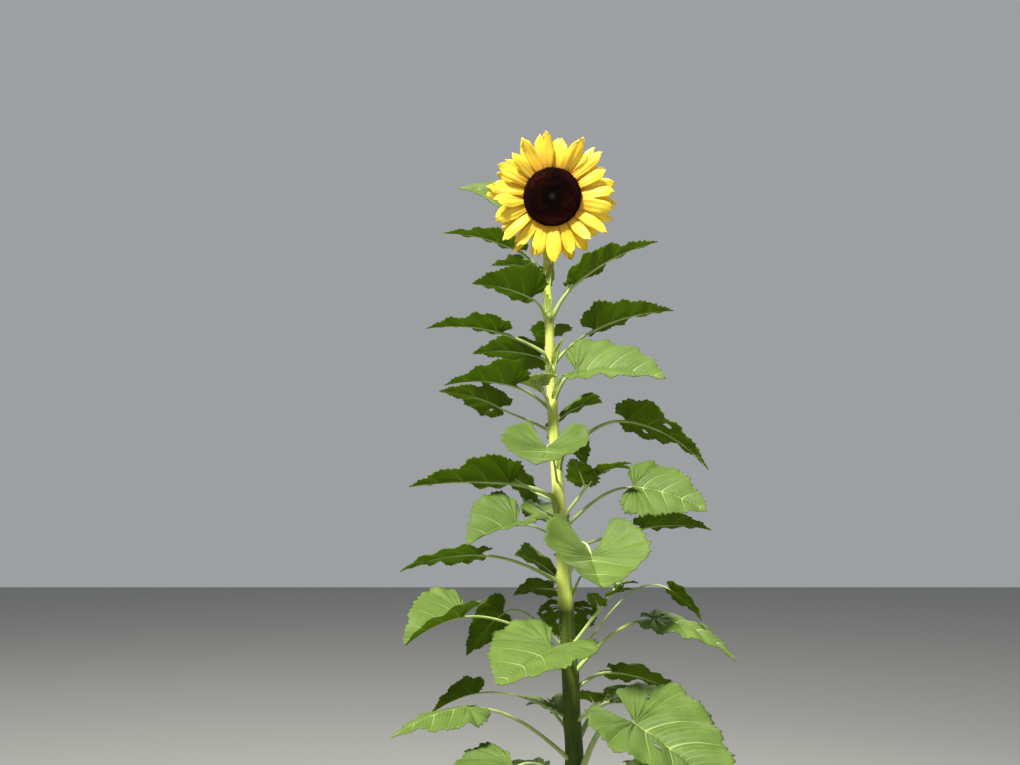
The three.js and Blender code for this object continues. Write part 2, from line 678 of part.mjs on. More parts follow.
addMesh(plant, "stem", makeStem(0), STEM_COLOUR, 0.7);
for (const leaf of LEAVES) {
  addMesh(plant, `leaf_${leaf.name}`, stemLeafSolid(leaf), LEAF_COLOUR, 0.6);
}
for (let index = 0; index < LOWER_LEAVES; index += 1) {
  const leaf = lowerLeaf(index);
  addMesh(plant, `leaf_${leaf.name}`, stemLeafSolid(leaf), LEAF_COLOUR, 0.6);
}
for (const sprig of SPRIGS) {
  addMesh(plant, `sprig_${sprig.name}`, sprigSolid(sprig), PALE_LEAF_COLOUR, 0.6);
}
addMesh(head, "receptacle", receptacleSolid(), BRACT_COLOUR, 0.7);
addMesh(head, "rays_back", rayRow(BACK_PLATE_TOP, 0.5, 4, -2), RAY_COLOUR, 0.5);
addMesh(head, "rays_front", rayRow(FRONT_PLATE_TOP, 0, 16, 4), RAY_COLOUR, 0.5);
addMesh(head, "disc", discSolid(), DISC_COLOUR, 0.9);

export default plant;
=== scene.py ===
"""The looks of a tall garden sunflower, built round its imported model."""

from math import cos, exp, pi, radians, sin, sqrt

import bpy
import numpy as np
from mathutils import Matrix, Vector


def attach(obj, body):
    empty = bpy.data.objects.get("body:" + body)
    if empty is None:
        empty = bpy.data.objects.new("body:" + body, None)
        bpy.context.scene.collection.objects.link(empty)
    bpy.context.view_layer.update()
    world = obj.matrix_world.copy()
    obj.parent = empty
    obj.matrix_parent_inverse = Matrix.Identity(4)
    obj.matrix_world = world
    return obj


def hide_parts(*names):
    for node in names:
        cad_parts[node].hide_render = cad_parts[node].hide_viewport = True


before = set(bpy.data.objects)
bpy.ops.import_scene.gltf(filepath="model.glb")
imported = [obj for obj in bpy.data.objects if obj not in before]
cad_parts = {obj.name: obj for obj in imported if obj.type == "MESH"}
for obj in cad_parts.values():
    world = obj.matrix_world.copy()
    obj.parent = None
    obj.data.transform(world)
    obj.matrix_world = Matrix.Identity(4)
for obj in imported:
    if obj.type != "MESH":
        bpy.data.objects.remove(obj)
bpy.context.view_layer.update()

# Lengths below are millimetres, as in the model, and become metres when a mesh is made.
# Compass: 0 is +X (right), 90 is +Y (back), 180 is -X (left), 270 is -Y (front).
MM = 0.001
UP = np.array([0.0, 0.0, 1.0])
RIGHT = np.array([1.0, 0.0, 0.0])

# Stem: centreline as [height, right, back], and radius as [height, radius]
STEM_LINE = [
    [0, 0, 0], [60, 0, 0], [400, -8, 3], [800, -24, 5], [1165, -40, 0],
    [1450, -53, -2], [1670, -65, 2], [1800, -68, 3], [1890, -70, 5], [1935, -69, 9],
]
STEM_RADIUS = np.array([
    [0, 25], [18, 21], [60, 17.5], [400, 16], [800, 14.5], [1165, 12.5],
    [1450, 9.5], [1670, 7.5], [1890, 6.2], [2100, 6],
])
STEM_CURVE_STEPS = 1200
STRAIGHT_TOP = 1890
FOOT_RINGS = [0, 3, 7, 12, 18]
STEM_RING_START = 25
STEM_RING_STEP = 5
NECK_RINGS = 26
NECK_SPAN = 4
HEAD_ALONG = 1.2
STEM_SIDES = 44

# Ribs, which sway on their way up, and the flare. Rib height and flare depth are shares of the radius
STEM_RIBS = 11
STEM_RIB_HEIGHT = 0.035
RIB_MIDDLE = 0.6
RIB_SWAY = 0.9
RIB_SWAY_LENGTH = 140
RIB_FULL_HEIGHT = 200
FLARE_LOBES = 5
FLARE_DEPTH = 0.16
FLARE_FADE = 22

# Swelling of the stem where a leaf grows: out and tall as shares of the radius, and its angle in radians
SWELLING_OUT = 0.14
SWELLING_TALL = 0.9
SWELLING_ANGLE = 0.7

# Hairs of the stem: lowest and highest, shortest and longest, least and most upright
STEM_HAIRS = 5200
HAIR_HEIGHTS = (30, STRAIGHT_TOP - 10)
HAIR_LENGTHS = (1.3, 2.8)
HAIR_LEANS = (-0.35, 0.55)
HAIR_RADIUS = 0.14
HAIR_ROOT_SHARE = 0.985

# Head: place of the disc's face, the way it looks, and its layers from the disc back to the neck
HEAD_CENTRE = np.array([-64.0, -52.0, 1972.0])
HEAD_NOD = 18
HEAD_YAW = -4
DISC_RADIUS = 44
DISC_DOME = 9
PLATE = 2.4
DISC_SIDES = 64
PLATE_SIDES = 48
CUP_SIDES = 60
CUP_LOBES = 12
CUP_LOBE_DEPTH = 0.35
GAP = 0.3
CUP_DEPTH = 26
NECK_RADIUS = 6
NECK_FLARE = 5
NECK_BEND_BACK = 16
NECK_BEND_OUT = 4
FRONT_PLATE_TOP = -PLATE - GAP
BACK_PLATE_TOP = FRONT_PLATE_TOP - PLATE - GAP
CUP_TOP = BACK_PLATE_TOP - PLATE - GAP
CUP_BACK = CUP_TOP - CUP_DEPTH
NECK_END = CUP_BACK - GAP

# Cup: radius, height above its back, and tone
CUP_PROFILE = [
    (NECK_RADIUS + 1.5, 0, 0.65), (NECK_RADIUS + 4, 0.8, 0.65), (NECK_RADIUS + 10, 3, 0.6),
    (NECK_RADIUS + 17, 6.5, 0.5), (DISC_RADIUS - 12, 10, 0.4), (DISC_RADIUS - 5, 14, 0.35),
    (DISC_RADIUS - 1, CUP_DEPTH - 6, 0.35), (DISC_RADIUS, CUP_DEPTH - 2.5, 0.35),
    (DISC_RADIUS - 1, CUP_DEPTH, 0.35),
]

# Petals and bracts. An outline has shares along and across, and a grid its points along and across
RAY_LENGTH = 54
RAY_WIDTH = 20.5
RAY_THICKNESS = 0.5
RAY_GRID = (22, 11)
RAY_OUTLINE = ([0, 0.15, 0.42, 0.68, 0.84, 0.94, 1], [0.57, 0.74, 1.0, 0.97, 0.84, 0.60, 0.26])
RAY_PLEATS = 2.5
RAY_FOLD = 8
RAY_CURL = 30
RAY_JITTER = 3
RAY_SWAY = 4
RAY_TIP_SWAY = 16
RAY_ROLL = 36
RAY_LENGTH_VARIES = 0.11
RAY_WIDTH_VARIES = 0.16
RAYS_IN_ROW = 20
BRACTS = 13
BRACT_LENGTH = 34
BRACT_WIDTH = 13
BRACT_THICKNESS = 0.8
BRACT_FOLD = -6
BRACT_CURL = 14
BRACT_GRID = (12, 9)
BRACT_OUTLINE = ([0, 0.3, 0.6, 0.85, 1], [0.85, 1.0, 0.72, 0.28, 0.05])

# Rows of bracts: turn as a share of one bract, radius and height of the foot, slope at foot and tip
BRACT_ROWS = [
    (0.0, DISC_RADIUS - 5, CUP_TOP - 4, -4, -16),
    (0.5, DISC_RADIUS - 9, CUP_TOP - 9, -20, -38),
]

# Rows of petals: node, top of its plate, turn as a share of one petal, slope at the foot and at the tip
PETAL_ROWS = [
    ("rays_back", BACK_PLATE_TOP, 0.5, 4, -2),
    ("rays_front", FRONT_PLATE_TOP, 0, 16, 4),
]

# Angle from each leaf or floret to the next, and the disc's closer one
GOLDEN_ANGLE = 137.5
FLORET_TURN = 137.508
FLORETS = 1250
FLORET_SIDES = 5

# Leaf: shape shared by all, as shares of the length and of the half width
LEAF_OUTLINE = np.array([
    [-0.10, 0.30], [-0.09, 0.58], [0.0, 0.86], [0.13, 1.0], [0.28, 0.97],
    [0.44, 0.82], [0.6, 0.59], [0.76, 0.34], [0.9, 0.13], [1, 0],
])
COLUMN_SHARES = [0, 0.012, 0.03, 0.07, 0.13, 0.2, 0.28, 0.37, 0.46, 0.56, 0.66, 0.75, 0.83, 0.9, 0.955, 1]
VEIN_SLOPE = 0.75
ROW_BOW = 1.25
LOBE_STEP = 0.1
LOBE_SPAN = 0.45
ROOT_SPREAD = 0.06
BLADE_THICKNESS = 0.7
TIP_ROW = 0.985

# Teeth, more of them on a large blade
TEETH = 24
TEETH_OF_LARGE = 30
LARGE_BLADE = 160
ROWS_IN_TOOTH = 3
TEETH_IN_VEIN = 3
TOOTH_CUT = np.array([0.0, 0.5, 1.0])
TOOTH_DEPTH = 0.95
TOOTH_SIZES = (0.55, 1.45)
TOOTH_REACH = 0.72
SMOOTH_EDGED = {"behind_head": 0.2}
RAGGED = 0.012

# Relief of a blade of the plain length: cushions between veins, creases, wrinkles and waves
PLAIN_BLADE = 140
CUSHION = 2.7
CREASE = 1.1
WRINKLE = 0.6
FLOP = 2.6
FRILL = 5.0
SIDE_VEIN_WIDTH = 0.09
MIDRIB_WIDTH = 0.012
VEIN_SWELL = 0.8

# Leaf stalk: radii as shares of the blade's length, and where it runs under the blade as its midrib
STALK_FOOT_SHARE = 0.027
STALK_END_SHARE = 0.017
STALK_FOOT_SWELL = 0.45
STALK_SWELL_FADE = 0.13
STALK_SIDES = 12
GROOVE_DEPTH = 0.3
GROOVE_WIDTH = 0.5
STALK_STEPS = 20
RIB_SPAN = (0.05, 0.86)
RIB_STEPS = 13

# What a leaf has unless its row says otherwise
PLAIN_LEAF = {
    "name": "", "turn": 0, "width": 0.8, "bend": 28, "fold": 14, "curl": 26, "roll": 0,
    "arch": 12, "wave": 0.02, "lobe": 1, "full": 0, "teeth": TEETH, "tone": 0.5,
}


# Each leaf: name, height on the stem, compass bearing and length of the stalk, its rise, the blade's
# length and mean pitch, its turn from the stalk, width as a share of the length, and roll.
LEAF_NAMES = ("name", "height", "toward", "stalk", "rise", "blade", "pitch", "turn", "width", "roll")


def one_leaf(*values, **apart):
    """A leaf from the values named above, in their order, then what sets it apart."""
    return {**dict(zip(LEAF_NAMES, values)), **apart}


LEAVES = [
    one_leaf("behind_head", 1900, 120, 108, 68, 135, 18, 52, 0.62, -60),
    one_leaf("top_left", 1850, 145, 90, 52, 125, 12, 40, 0.5, -1, fold=21, curl=8),
    one_leaf("top_back", 1822, 95, 96, 50, 112, 18, 50, 0.6, 12),
    one_leaf("upper_left", 1788, 222, 50, 42, 98, 5, -18, 0.95, 14, fold=30, curl=12, full=0.1),
    one_leaf("upper_right", 1785, 337, 74, 56, 150, 28, 23, 0.45, -12, fold=26, curl=14),
    one_leaf("right_shade", 1718, 25, 105, 42, 128, 8, -45, 0.62, -14, fold=28, curl=12),
    one_leaf("left_shade", 1735, 190, 83, 25, 116, -1, 5, 0.52, 8, fold=24, curl=10),
    one_leaf("back_left_high", 1702, 112, 60, 47, 120, 8, 45, 0.7, 25),
    one_leaf("left_high", 1651, 206, 72, 28, 112, -5, 0, 0.85, 8, fold=26, curl=12),
    one_leaf("left_under", 1617, 170, 92, 28, 98, 12, 25, 0.7, 24),
    one_leaf("right_bright", 1662, 322, 62, 46, 132, -8, 25, 0.95, 40, fold=26, curl=16, full=0.3),
    one_leaf("right_arch", 1578, 5, 123, 30, 145, -34, -27, 0.66, -26, fold=16, curl=16, bend=45,
             full=-0.2),
    one_leaf("back_right_high", 1602, 75, 64, 49, 112, 19, -31, 0.75, -25),
    one_leaf("back_right_mid", 1578, 64, 50, 50, 84, -25, -5, 0.8, 10),
    one_leaf("front_high", 1540, 258, 106, 25, 68, -26, -5, 1.8, -6, fold=16, curl=-8, bend=-40,
             lobe=6, full=0.35),
    one_leaf("left_mid", 1520, 196, 76, 18, 147, -3, -6, 0.62, 22, fold=27, curl=14, bend=14),
    one_leaf("back_left_mid", 1515, 140, 58, 25, 100, 20, 0, 0.75, 45),
    one_leaf("right_mid", 1476, 342, 122, 30, 108, -20, -4, 0.95, 50, full=0.2),
    one_leaf("right_mid_under", 1442, 8, 125, 18, 100, -2, -18, 0.75, -20, fold=20, curl=12),
    one_leaf("left_bright", 1460, 214, 82, 17, 80, -22, -10, 1.5, -26, fold=40, lobe=1.5, full=0.1),
    one_leaf("back_left_inner", 1470, 112, 45, 33, 96, 22, 0, 0.75),
    one_leaf("front_heart", 1448, 284, 120, -2, 80, -30, -8, 1.85, -4, fold=22, curl=-10, bend=-40,
             lobe=6, full=0.35),
    one_leaf("left_low", 1400, 187, 128, 20, 116, -12, 4, 0.75, 16, fold=8, curl=20),
    one_leaf("back_left_low", 1376, 108, 55, 44, 112, 14, 15, 0.75, 45),
    one_leaf("inner_left_low", 1374, 146, 30, 46, 70, -10, 0, 0.75, 30),
    one_leaf("left_droop", 1306, 203, 167, 20, 94, -20, 14, 1.1, -10, fold=50, bend=30, full=0.2),
    one_leaf("left_shade_low", 1312, 166, 106, 28, 80, -46, 34, 1.12, 55, fold=10, curl=20, lobe=1),
    one_leaf("front_broad", 1304, 250, 84, 14, 101, -21, -26, 1.42, -12, fold=22, curl=20, bend=16,
             lobe=3.6, full=0.3),
    one_leaf("back_low", 1334, 84, 50, 45, 76, -60, 0, 1.12),
    one_leaf("right_long", 1277, 336, 146, 34, 120, -26, 6, 0.6, 14, fold=8, bend=50, lobe=1.6),
    one_leaf("right_dark", 1257, 16, 67, 22, 112, -20, -4, 0.75, -20),
    one_leaf("left_foot_bright", 1165, 212, 190, 28, 108, -13, 0, 0.8, fold=-8, curl=14, lobe=2),
    one_leaf("front_great", 1142, 298, 165, 37, 168, -32, 20, 0.95, 14, fold=28, lobe=2.6),
    one_leaf("front_left_low", 1125, 236, 168, 24, 132, -22, 0, 0.85, -20),
    one_leaf("back_high", 1770, 80, 60, 30, 92, -10, 20, 0.7),
    one_leaf("back_right_low", 1404, 62, 80, 26, 132, -6, -8, 0.85),
    one_leaf("back_right_foot", 1186, 52, 105, 26, 160, -18, -6, 0.88),
    one_leaf("back_left_foot", 1112, 150, 70, 32, 130, -12, 20, 0.85),
    one_leaf("shoot_dark", 1290, 338, 180, 37, 58, -45, 0, 0.9, -30),
    one_leaf("left_foot_dark", 1220, 194, 138, 18, 68, -20, 0, 0.95, 26, fold=34, curl=16),
]

# Below the photograph's edge the leaves follow the stem's own spiral, with values from top to bottom
LOWER_LEAVES = 10
LOWER_FIRST_BEARING = 28
LOWER_HEIGHTS = (1050, 290)
LOWER_STALKS = (170, 130)
LOWER_RISES = (26, 14)
LOWER_PITCHES = (-24, -38)
LOWER_BLADE = 215
LOWER_BLADE_MORE = 35
LOWER_SHAPE = {"width": 0.92, "bend": 46, "curl": 34}

# Holes that insects left, as first row, first column, rows and columns of a leaf's cells
EATEN = {
    "back_low": [
        (22, 3, 5, 4), (30, 6, 3, 3), (36, 2, 4, 2), (40, 8, 3, 2), (18, 22, 5, 3), (26, 20, 3, 4),
        (27, 26, 4, 2), (34, 22, 4, 2), (40, 19, 3, 3), (45, 23, 3, 2), (14, 25, 3, 2),
    ],
    "right_arch": [(30, 24, 3, 2), (44, 6, 3, 2)],
    "front_great": [(20, 24, 2, 1), (52, 6, 3, 1)],
    "left_under": [(24, 5, 4, 2)],
    "right_mid": [(34, 22, 2, 2)],
}


def named_rows(names, *rows):
    return [dict(zip(names, row)) for row in rows]


# Small side sprigs in the leaf axils
SPRIGS = named_rows(
    ("name", "height", "toward", "length", "rise", "leaf", "width", "fold"),
    ("curled", 1644, 240, 58, 46, 40, 0.95, 38),
    ("right_buds", 1490, 320, 96, 45, 72, 0.6, 24),
    ("right_shoot", 1312, 316, 124, 46, 44, 0.55, 24),
    ("low_right", 1215, 318, 74, 38, 52, 0.55, 24),
    ("low_left", 1200, 146, 52, 42, 48, 0.55, 24),
)
# Only the curled sprig, high and in the light, takes the pale young finish, and the lower sprigs the plain
# leaf finish; its paleness is partly young growth and partly painted light.
PALE_SPRIGS_WITH_PAINTED_LIGHT = ("curled",)
SPRIG_LEAVES = 3
SPRIG_FIRST_LEAF = 0.66
SPRIG_LEAF_STEP = 0.15
SPRIG_SIDES = 12
SPRIG_SHAPE = {"stalk": 8, "rise": 40, "teeth": 11, "tone": 0.85}
SPRIG_FAN = 70
SPRIG_RADIUS = 2.6
SPRIG_COLUMNS = [0, 0.05, 0.14, 0.3, 0.5, 0.7, 0.88, 1]
SPRIG_SEED = 60
BUD_SIZE = 8
BUD_BRACTS = 7
BUD_BRACT_THICKNESS = 0.5

# Slim young leaflets that stand close to the stem in the leaf axils
AXIL_LEAFLETS = named_rows(
    ("height", "toward", "rise", "blade", "pitch"),
    (1846, 300, 70, 40, 72), (1786, 228, 74, 54, 78), (1716, 322, 66, 46, 66), (1700, 246, 66, 34, 60),
    (1664, 300, 62, 38, 62), (1560, 290, 60, 32, 56), (1496, 236, 60, 34, 58), (1378, 352, 64, 34, 66),
)
AXIL_SHAPE = {"stalk": 7, "width": 0.34, "fold": 34, "curl": 10, "bend": 24, "teeth": 9, "tone": 0.95}
AXIL_COLUMNS = [0, 0.08, 0.3, 0.55, 0.8, 1]
AXIL_SEED = 90


def bearing(angle):
    turn = radians(angle)
    return np.array([cos(turn), sin(turn), 0.0])


def heading(toward, rise):
    return bearing(toward) * cos(radians(rise)) + UP * sin(radians(rise))


def unit(vector):
    return vector / np.linalg.norm(vector, axis=-1, keepdims=True)


def between(limits, share):
    low, high = limits
    return low + (high - low) * share


def scatter(index, salt=0.0):
    """A repeatable number from 0 to 1 for each index."""
    value = np.sin(np.asarray(index, float) * 12.9898 + salt * 78.233) * 43758.5453
    return value - np.floor(value)


def drift(index, salt):
    """A repeatable number from -0.5 to 0.5."""
    return float(scatter(index, salt)) - 0.5


def circle(sides):
    """Even angles all round."""
    return np.arange(sides) * 2 * pi / sides


# Shapes: points, faces, a finish number for each face, and named values for each point

VALUES = ("tone", "vein", "along", "turn", "off")


def shape(points, faces, finish=0, **values):
    count = len(points)
    table = {name: np.broadcast_to(values.get(name, 0.0), (count,)).astype(float) for name in VALUES}
    finishes = np.broadcast_to(finish, (len(faces),)).astype(int)
    return {"points": np.asarray(points, float), "faces": list(faces), "finish": finishes, "values": table}


def join(shapes):
    """One shape from several."""
    starts = np.cumsum([0] + [len(one["points"]) for one in shapes]).tolist()
    faces = []
    for one, start in zip(shapes, starts):
        faces.extend(tuple(corner + start for corner in face) for face in one["faces"])
    return {
        "points": np.concatenate([one["points"] for one in shapes]),
        "faces": faces,
        "finish": np.concatenate([one["finish"] for one in shapes]),
        "values": {name: np.concatenate([one["values"][name] for one in shapes]) for name in VALUES},
    }


def add_object(name, data, place=(0, 0, 0), turn=(0, 0, 0)):
    made = bpy.data.objects.new(name, data)
    made.location = place
    made.rotation_euler = turn
    bpy.context.scene.collection.objects.link(made)
    return made


def add_piece(name, one, materials, replaced=(), smooth=True):
    """A Blender object from a shape, riding with the plant."""
    mesh = bpy.data.meshes.new(name)
    mesh.from_pydata((one["points"] * MM).tolist(), [], one["faces"])
    mesh.polygons.foreach_set("material_index", one["finish"])
    mesh.polygons.foreach_set("use_smooth", np.full(len(mesh.polygons), smooth))
    for value_name, values in one["values"].items():
        attribute = mesh.attributes.new(value_name, "FLOAT", "POINT")
        attribute.data.foreach_set("value", values.astype(np.float32))
    for material in materials:
        mesh.materials.append(material)
    piece = add_object(name, mesh)
    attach(piece, "root")
    if replaced:
        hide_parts(*replaced)


def ring(centre, tangent, radii, reference):
    right = unit(reference - tangent * np.dot(reference, tangent))
    back = np.cross(tangent, right)
    angles = circle(len(radii))
    return centre + np.outer(radii * np.cos(angles), right) + np.outer(radii * np.sin(angles), back)


def loft(rings, finish=0, **values):
    """Closed tube through rings of equal count. A value may be given for each ring."""
    count = len(rings[0])
    index = np.arange(len(rings) * count).reshape(-1, count)
    after = np.roll(index, -1, axis=1)
    walls = np.stack([index[:-1], after[:-1], after[1:], index[1:]], axis=-1).reshape(-1, 4)
    faces = [tuple(face) for face in [*walls.tolist(), index[0, ::-1].tolist(), index[-1].tolist()]]
    spread = {name: np.repeat(value, count) if np.ndim(value) else value for name, value in values.items()}
    return shape(np.concatenate(rings), faces, finish, **spread)


def tube(place, way, reference, sides, profile, **values):
    """Straight closed tube along a way, from pairs of distance and radius."""
    rings = []
    for distance, radius in profile:
        rings.append(ring(place + way * distance, way, np.full(sides, radius), reference))
    return loft(rings, **values)


def grid_normals(points):
    """Normals of a grid of points, from its neighbours."""
    along = np.gradient(points, axis=0)
    across = np.gradient(points, axis=1)
    return unit(np.cross(along, across) + 1e-9 * UP)


def sheet(points, thickness, finishes=(0, 1), kept=None, **values):
    """Closed thin sheet on a grid of middle points. Its upper and under side have their own finish."""
    rows, columns = points.shape[:2]
    count = rows * columns
    middle = points.reshape(count, 3)
    half = grid_normals(points).reshape(count, 3) * np.reshape(thickness, (-1, 1)) / 2
    index = np.arange(count).reshape(rows, columns)
    cells = np.stack([index[:-1, :-1], index[1:, :-1], index[1:, 1:], index[:-1, 1:]], axis=-1)
    cells = cells[np.ones(cells.shape[:2], bool) if kept is None else kept]
    edges = np.concatenate([cells[:, [a, b]] for a, b in ((0, 1), (1, 2), (2, 3), (3, 0))])
    forth = edges[:, 0] * count + edges[:, 1]
    back = edges[:, 1] * count + edges[:, 0]
    rim = edges[~np.isin(back, forth)]
    walls = np.stack([rim[:, 1], rim[:, 0], rim[:, 0] + count, rim[:, 1] + count], axis=-1)
    under = cells[:, ::-1] + count
    faces = np.concatenate([cells, under, walls])
    finish = np.repeat([finishes[0], finishes[1], finishes[1]], [len(cells), len(under), len(walls)])
    used = np.unique(faces)
    number = np.full(2 * count, -1)
    number[used] = np.arange(len(used))
    both = np.concatenate([middle + half, middle - half])[used]
    spread = {name: np.tile(np.broadcast_to(value, (rows, columns)).reshape(-1), 2)[used]
              for name, value in values.items()}
    return shape(both, [tuple(face) for face in number[faces].tolist()], finish, **spread)


def arc(distance, length, start_slope, end_slope):
    """Run, rise and slope after a distance, along a line that is straight before its foot and then
    turns evenly. A straight line counts as a very slight turn."""
    start = radians(start_slope)
    turn = (radians(end_slope) - start) / length or 1e-9
    straight = np.minimum(distance, 0)
    slope = start + turn * np.maximum(distance, 0)
    run = straight * cos(start) + (np.sin(slope) - sin(start)) / turn
    rise = straight * sin(start) + (cos(start) - np.cos(slope)) / turn
    return run, rise, slope


def hermite(here, there, leave, arrive, t):
    """Cubic curve between two places, from the ways it leaves one and arrives at the other."""
    square = 3 * (there - here) - 2 * leave - arrive
    cube = 2 * (here - there) + leave + arrive
    return here + leave * t + square * t * t + cube * t ** 3


# Stem line

HEAD_AXIS = heading(270 + HEAD_YAW, -HEAD_NOD)
NECK_POINT = HEAD_CENTRE + HEAD_AXIS * NECK_END


def catmull_rom(points, steps):
    """Centripetal curve through the points, at even steps of its own parameter."""
    ends = [2 * points[0] - points[1], *points, 2 * points[-1] - points[-2]]
    places = []
    for share in np.linspace(0, 1, steps + 1):
        at = share * (len(points) - 1)
        index = min(int(at), len(points) - 2)
        a, b, c, d = ends[index:index + 4]
        gap_a, gap_b, gap_c = (max(np.linalg.norm(q - p) ** 0.5, 1e-4) for p, q in ((a, b), (b, c), (c, d)))
        leave = ((b - a) / gap_a - (c - a) / (gap_a + gap_b) + (c - b) / gap_b) * gap_b
        arrive = ((c - b) / gap_b - (d - b) / (gap_b + gap_c) + (d - c) / gap_c) * gap_b
        places.append(hermite(b, c, leave, arrive, at - index))
    return np.array(places)


STEM_PATH = catmull_rom(
    [np.array([right, back, height], float) for height, right, back in STEM_LINE]
    + [NECK_POINT - HEAD_AXIS * NECK_BEND_BACK + np.array([0.0, NECK_BEND_OUT, 0.0]), NECK_POINT],
    STEM_CURVE_STEPS,
)
STEM_RISE = STEM_PATH[:np.argmax(STEM_PATH[:, 2]) + 1]


def stem_centre(height):
    return np.array([np.interp(height, STEM_RISE[:, 2], STEM_RISE[:, axis]) for axis in range(3)])


def stem_radius(height):
    return np.interp(height, STEM_RADIUS[:, 0], STEM_RADIUS[:, 1])


def swelling(height, radius, angles, leaf):
    """How far the stem swells out where a leaf grows."""
    apart = (angles - radians(leaf["toward"]) + pi) % (2 * pi) - pi
    rise = (height - leaf["height"]) / (SWELLING_TALL * radius)
    return SWELLING_OUT * radius * exp(-rise * rise) * np.exp(-(apart / SWELLING_ANGLE) ** 2)


def straight_rings():
    """Level rings up to the neck, with ribs, the flare at the foot and a swelling at each leaf."""
    angles = circle(STEM_SIDES)
    level = np.stack([np.cos(angles), np.sin(angles), np.zeros(STEM_SIDES)], axis=-1)
    heights = np.concatenate([FOOT_RINGS, np.arange(STEM_RING_START, STRAIGHT_TOP + 1, STEM_RING_STEP)])
    rings = []
    for height in heights:
        radius = stem_radius(height)
        flare = FLARE_DEPTH * exp(-height / FLARE_FADE) * np.cos(FLARE_LOBES * angles)
        rib_turn = STEM_RIBS * angles + RIB_SWAY * sin(height / RIB_SWAY_LENGTH)
        grown_out = STEM_RIB_HEIGHT * (0.4 + 0.6 * min(1, height / RIB_FULL_HEIGHT))
        ribs = grown_out * (np.abs(np.cos(rib_turn / 2)) - RIB_MIDDLE)
        radii = radius * (1 + flare + ribs)
        for leaf in ALL_LEAVES + AXIL_LEAFLETS:
            radii = radii + swelling(height, radius, angles, leaf)
        rings.append(stem_centre(height) + level * radii[:, None])
    return rings, heights


def neck_rings():
    """Rings from the straight part to the cup, each square to the neck's way."""
    start = int(np.argmax(STEM_PATH[:, 2] >= STRAIGHT_TOP))
    last = len(STEM_PATH) - 1
    angles = circle(STEM_SIDES)
    ribs = STEM_RIB_HEIGHT * (np.abs(np.cos(STEM_RIBS * angles / 2)) - RIB_MIDDLE)
    rings = []
    for pick in np.linspace(start, last, NECK_RINGS + 1).astype(int)[1:]:
        before, after = STEM_PATH[pick - NECK_SPAN], STEM_PATH[min(last, pick + NECK_SPAN)]
        tangent = HEAD_AXIS if pick == last else unit(after - before)
        share = (pick - start) / (last - start)
        radii = NECK_RADIUS * (1 + ribs) + NECK_FLARE * share ** 6
        rings.append(ring(STEM_PATH[pick], tangent, radii, RIGHT))
    return rings


# Leaf

def lower_leaf(index):
    share = index / (LOWER_LEAVES - 1)
    toward = (LOWER_FIRST_BEARING + GOLDEN_ANGLE * index) % 360
    blade = LOWER_BLADE + LOWER_BLADE_MORE * sin(pi * (0.25 + 0.75 * share))
    limits = (LOWER_HEIGHTS, LOWER_STALKS, LOWER_RISES, LOWER_PITCHES)
    height, stalk, rise, pitch = (between(one, share) for one in limits)
    return one_leaf(f"lower_{index + 1:02d}", height, toward, stalk, rise, blade, pitch, **LOWER_SHAPE)


ALL_LEAVES = LEAVES + [lower_leaf(index) for index in range(LOWER_LEAVES)]


def blade_frame(base, toward, length, width, pitches, fold, curl, roll=0.0, wave=0.0, phase=0.0):
    """How a leaf, petal or bract lies: its pitch at foot and tip, its fold, and how it bends and rolls."""
    return {
        "base": base, "forward": bearing(toward), "side": bearing(toward + 90), "length": length,
        "half_width": width / 2, "pitches": pitches, "fold": fold, "curl": curl,
        "roll": radians(roll), "wave": wave, "phase": radians(phase),
    }


def blade_points(bent, along, across, extra=0.0):
    """Points of a blade's middle surface, from distances along and across its midrib."""
    run, rise, slope = arc(along, bent["length"], *bent["pitches"])
    reach = np.abs(across)
    share = reach / bent["half_width"]
    out, lift, _ = arc(reach, bent["half_width"], bent["fold"], bent["fold"] - bent["curl"])
    ripple = np.sin(bent["phase"] + along / bent["length"] * 11 + np.sign(across) * 1.3)
    height = lift + bent["wave"] * ripple * share * share + extra
    sideways = np.sign(across) * out
    rolled_side = sideways * cos(bent["roll"]) - height * sin(bent["roll"])
    rolled_up = sideways * sin(bent["roll"]) + height * cos(bent["roll"])
    tangent_up = np.cos(slope)[..., None] * UP - np.sin(slope)[..., None] * bent["forward"]
    return (bent["base"] + run[..., None] * bent["forward"] + rise[..., None] * UP
            + rolled_side[..., None] * bent["side"] + rolled_up[..., None] * tangent_up)


def outline_at(shares, leaf, bent):
    """The leaf's plain outline in millimetres along and across: a curve through the shared one."""
    last = len(LEAF_OUTLINE) - 1
    at = np.clip(shares, 0, 1) * last
    index = np.minimum(at.astype(int), last - 1)
    before = LEAF_OUTLINE[np.maximum(index - 1, 0)]
    here, there = LEAF_OUTLINE[index], LEAF_OUTLINE[index + 1]
    after = LEAF_OUTLINE[np.minimum(index + 2, last)]
    place = hermite(here, there, (there - before) / 2, (after - here) / 2, (at - index)[:, None])
    near = np.maximum(0, 1 - shares / LOBE_SPAN)
    place[:, 0] -= LOBE_STEP * (leaf["lobe"] - 1) * near * near * (3 - 2 * near)
    place[:, 1] = np.maximum(0, place[:, 1]) ** (1 - leaf["full"])
    return place * [bent["length"], bent["half_width"]]


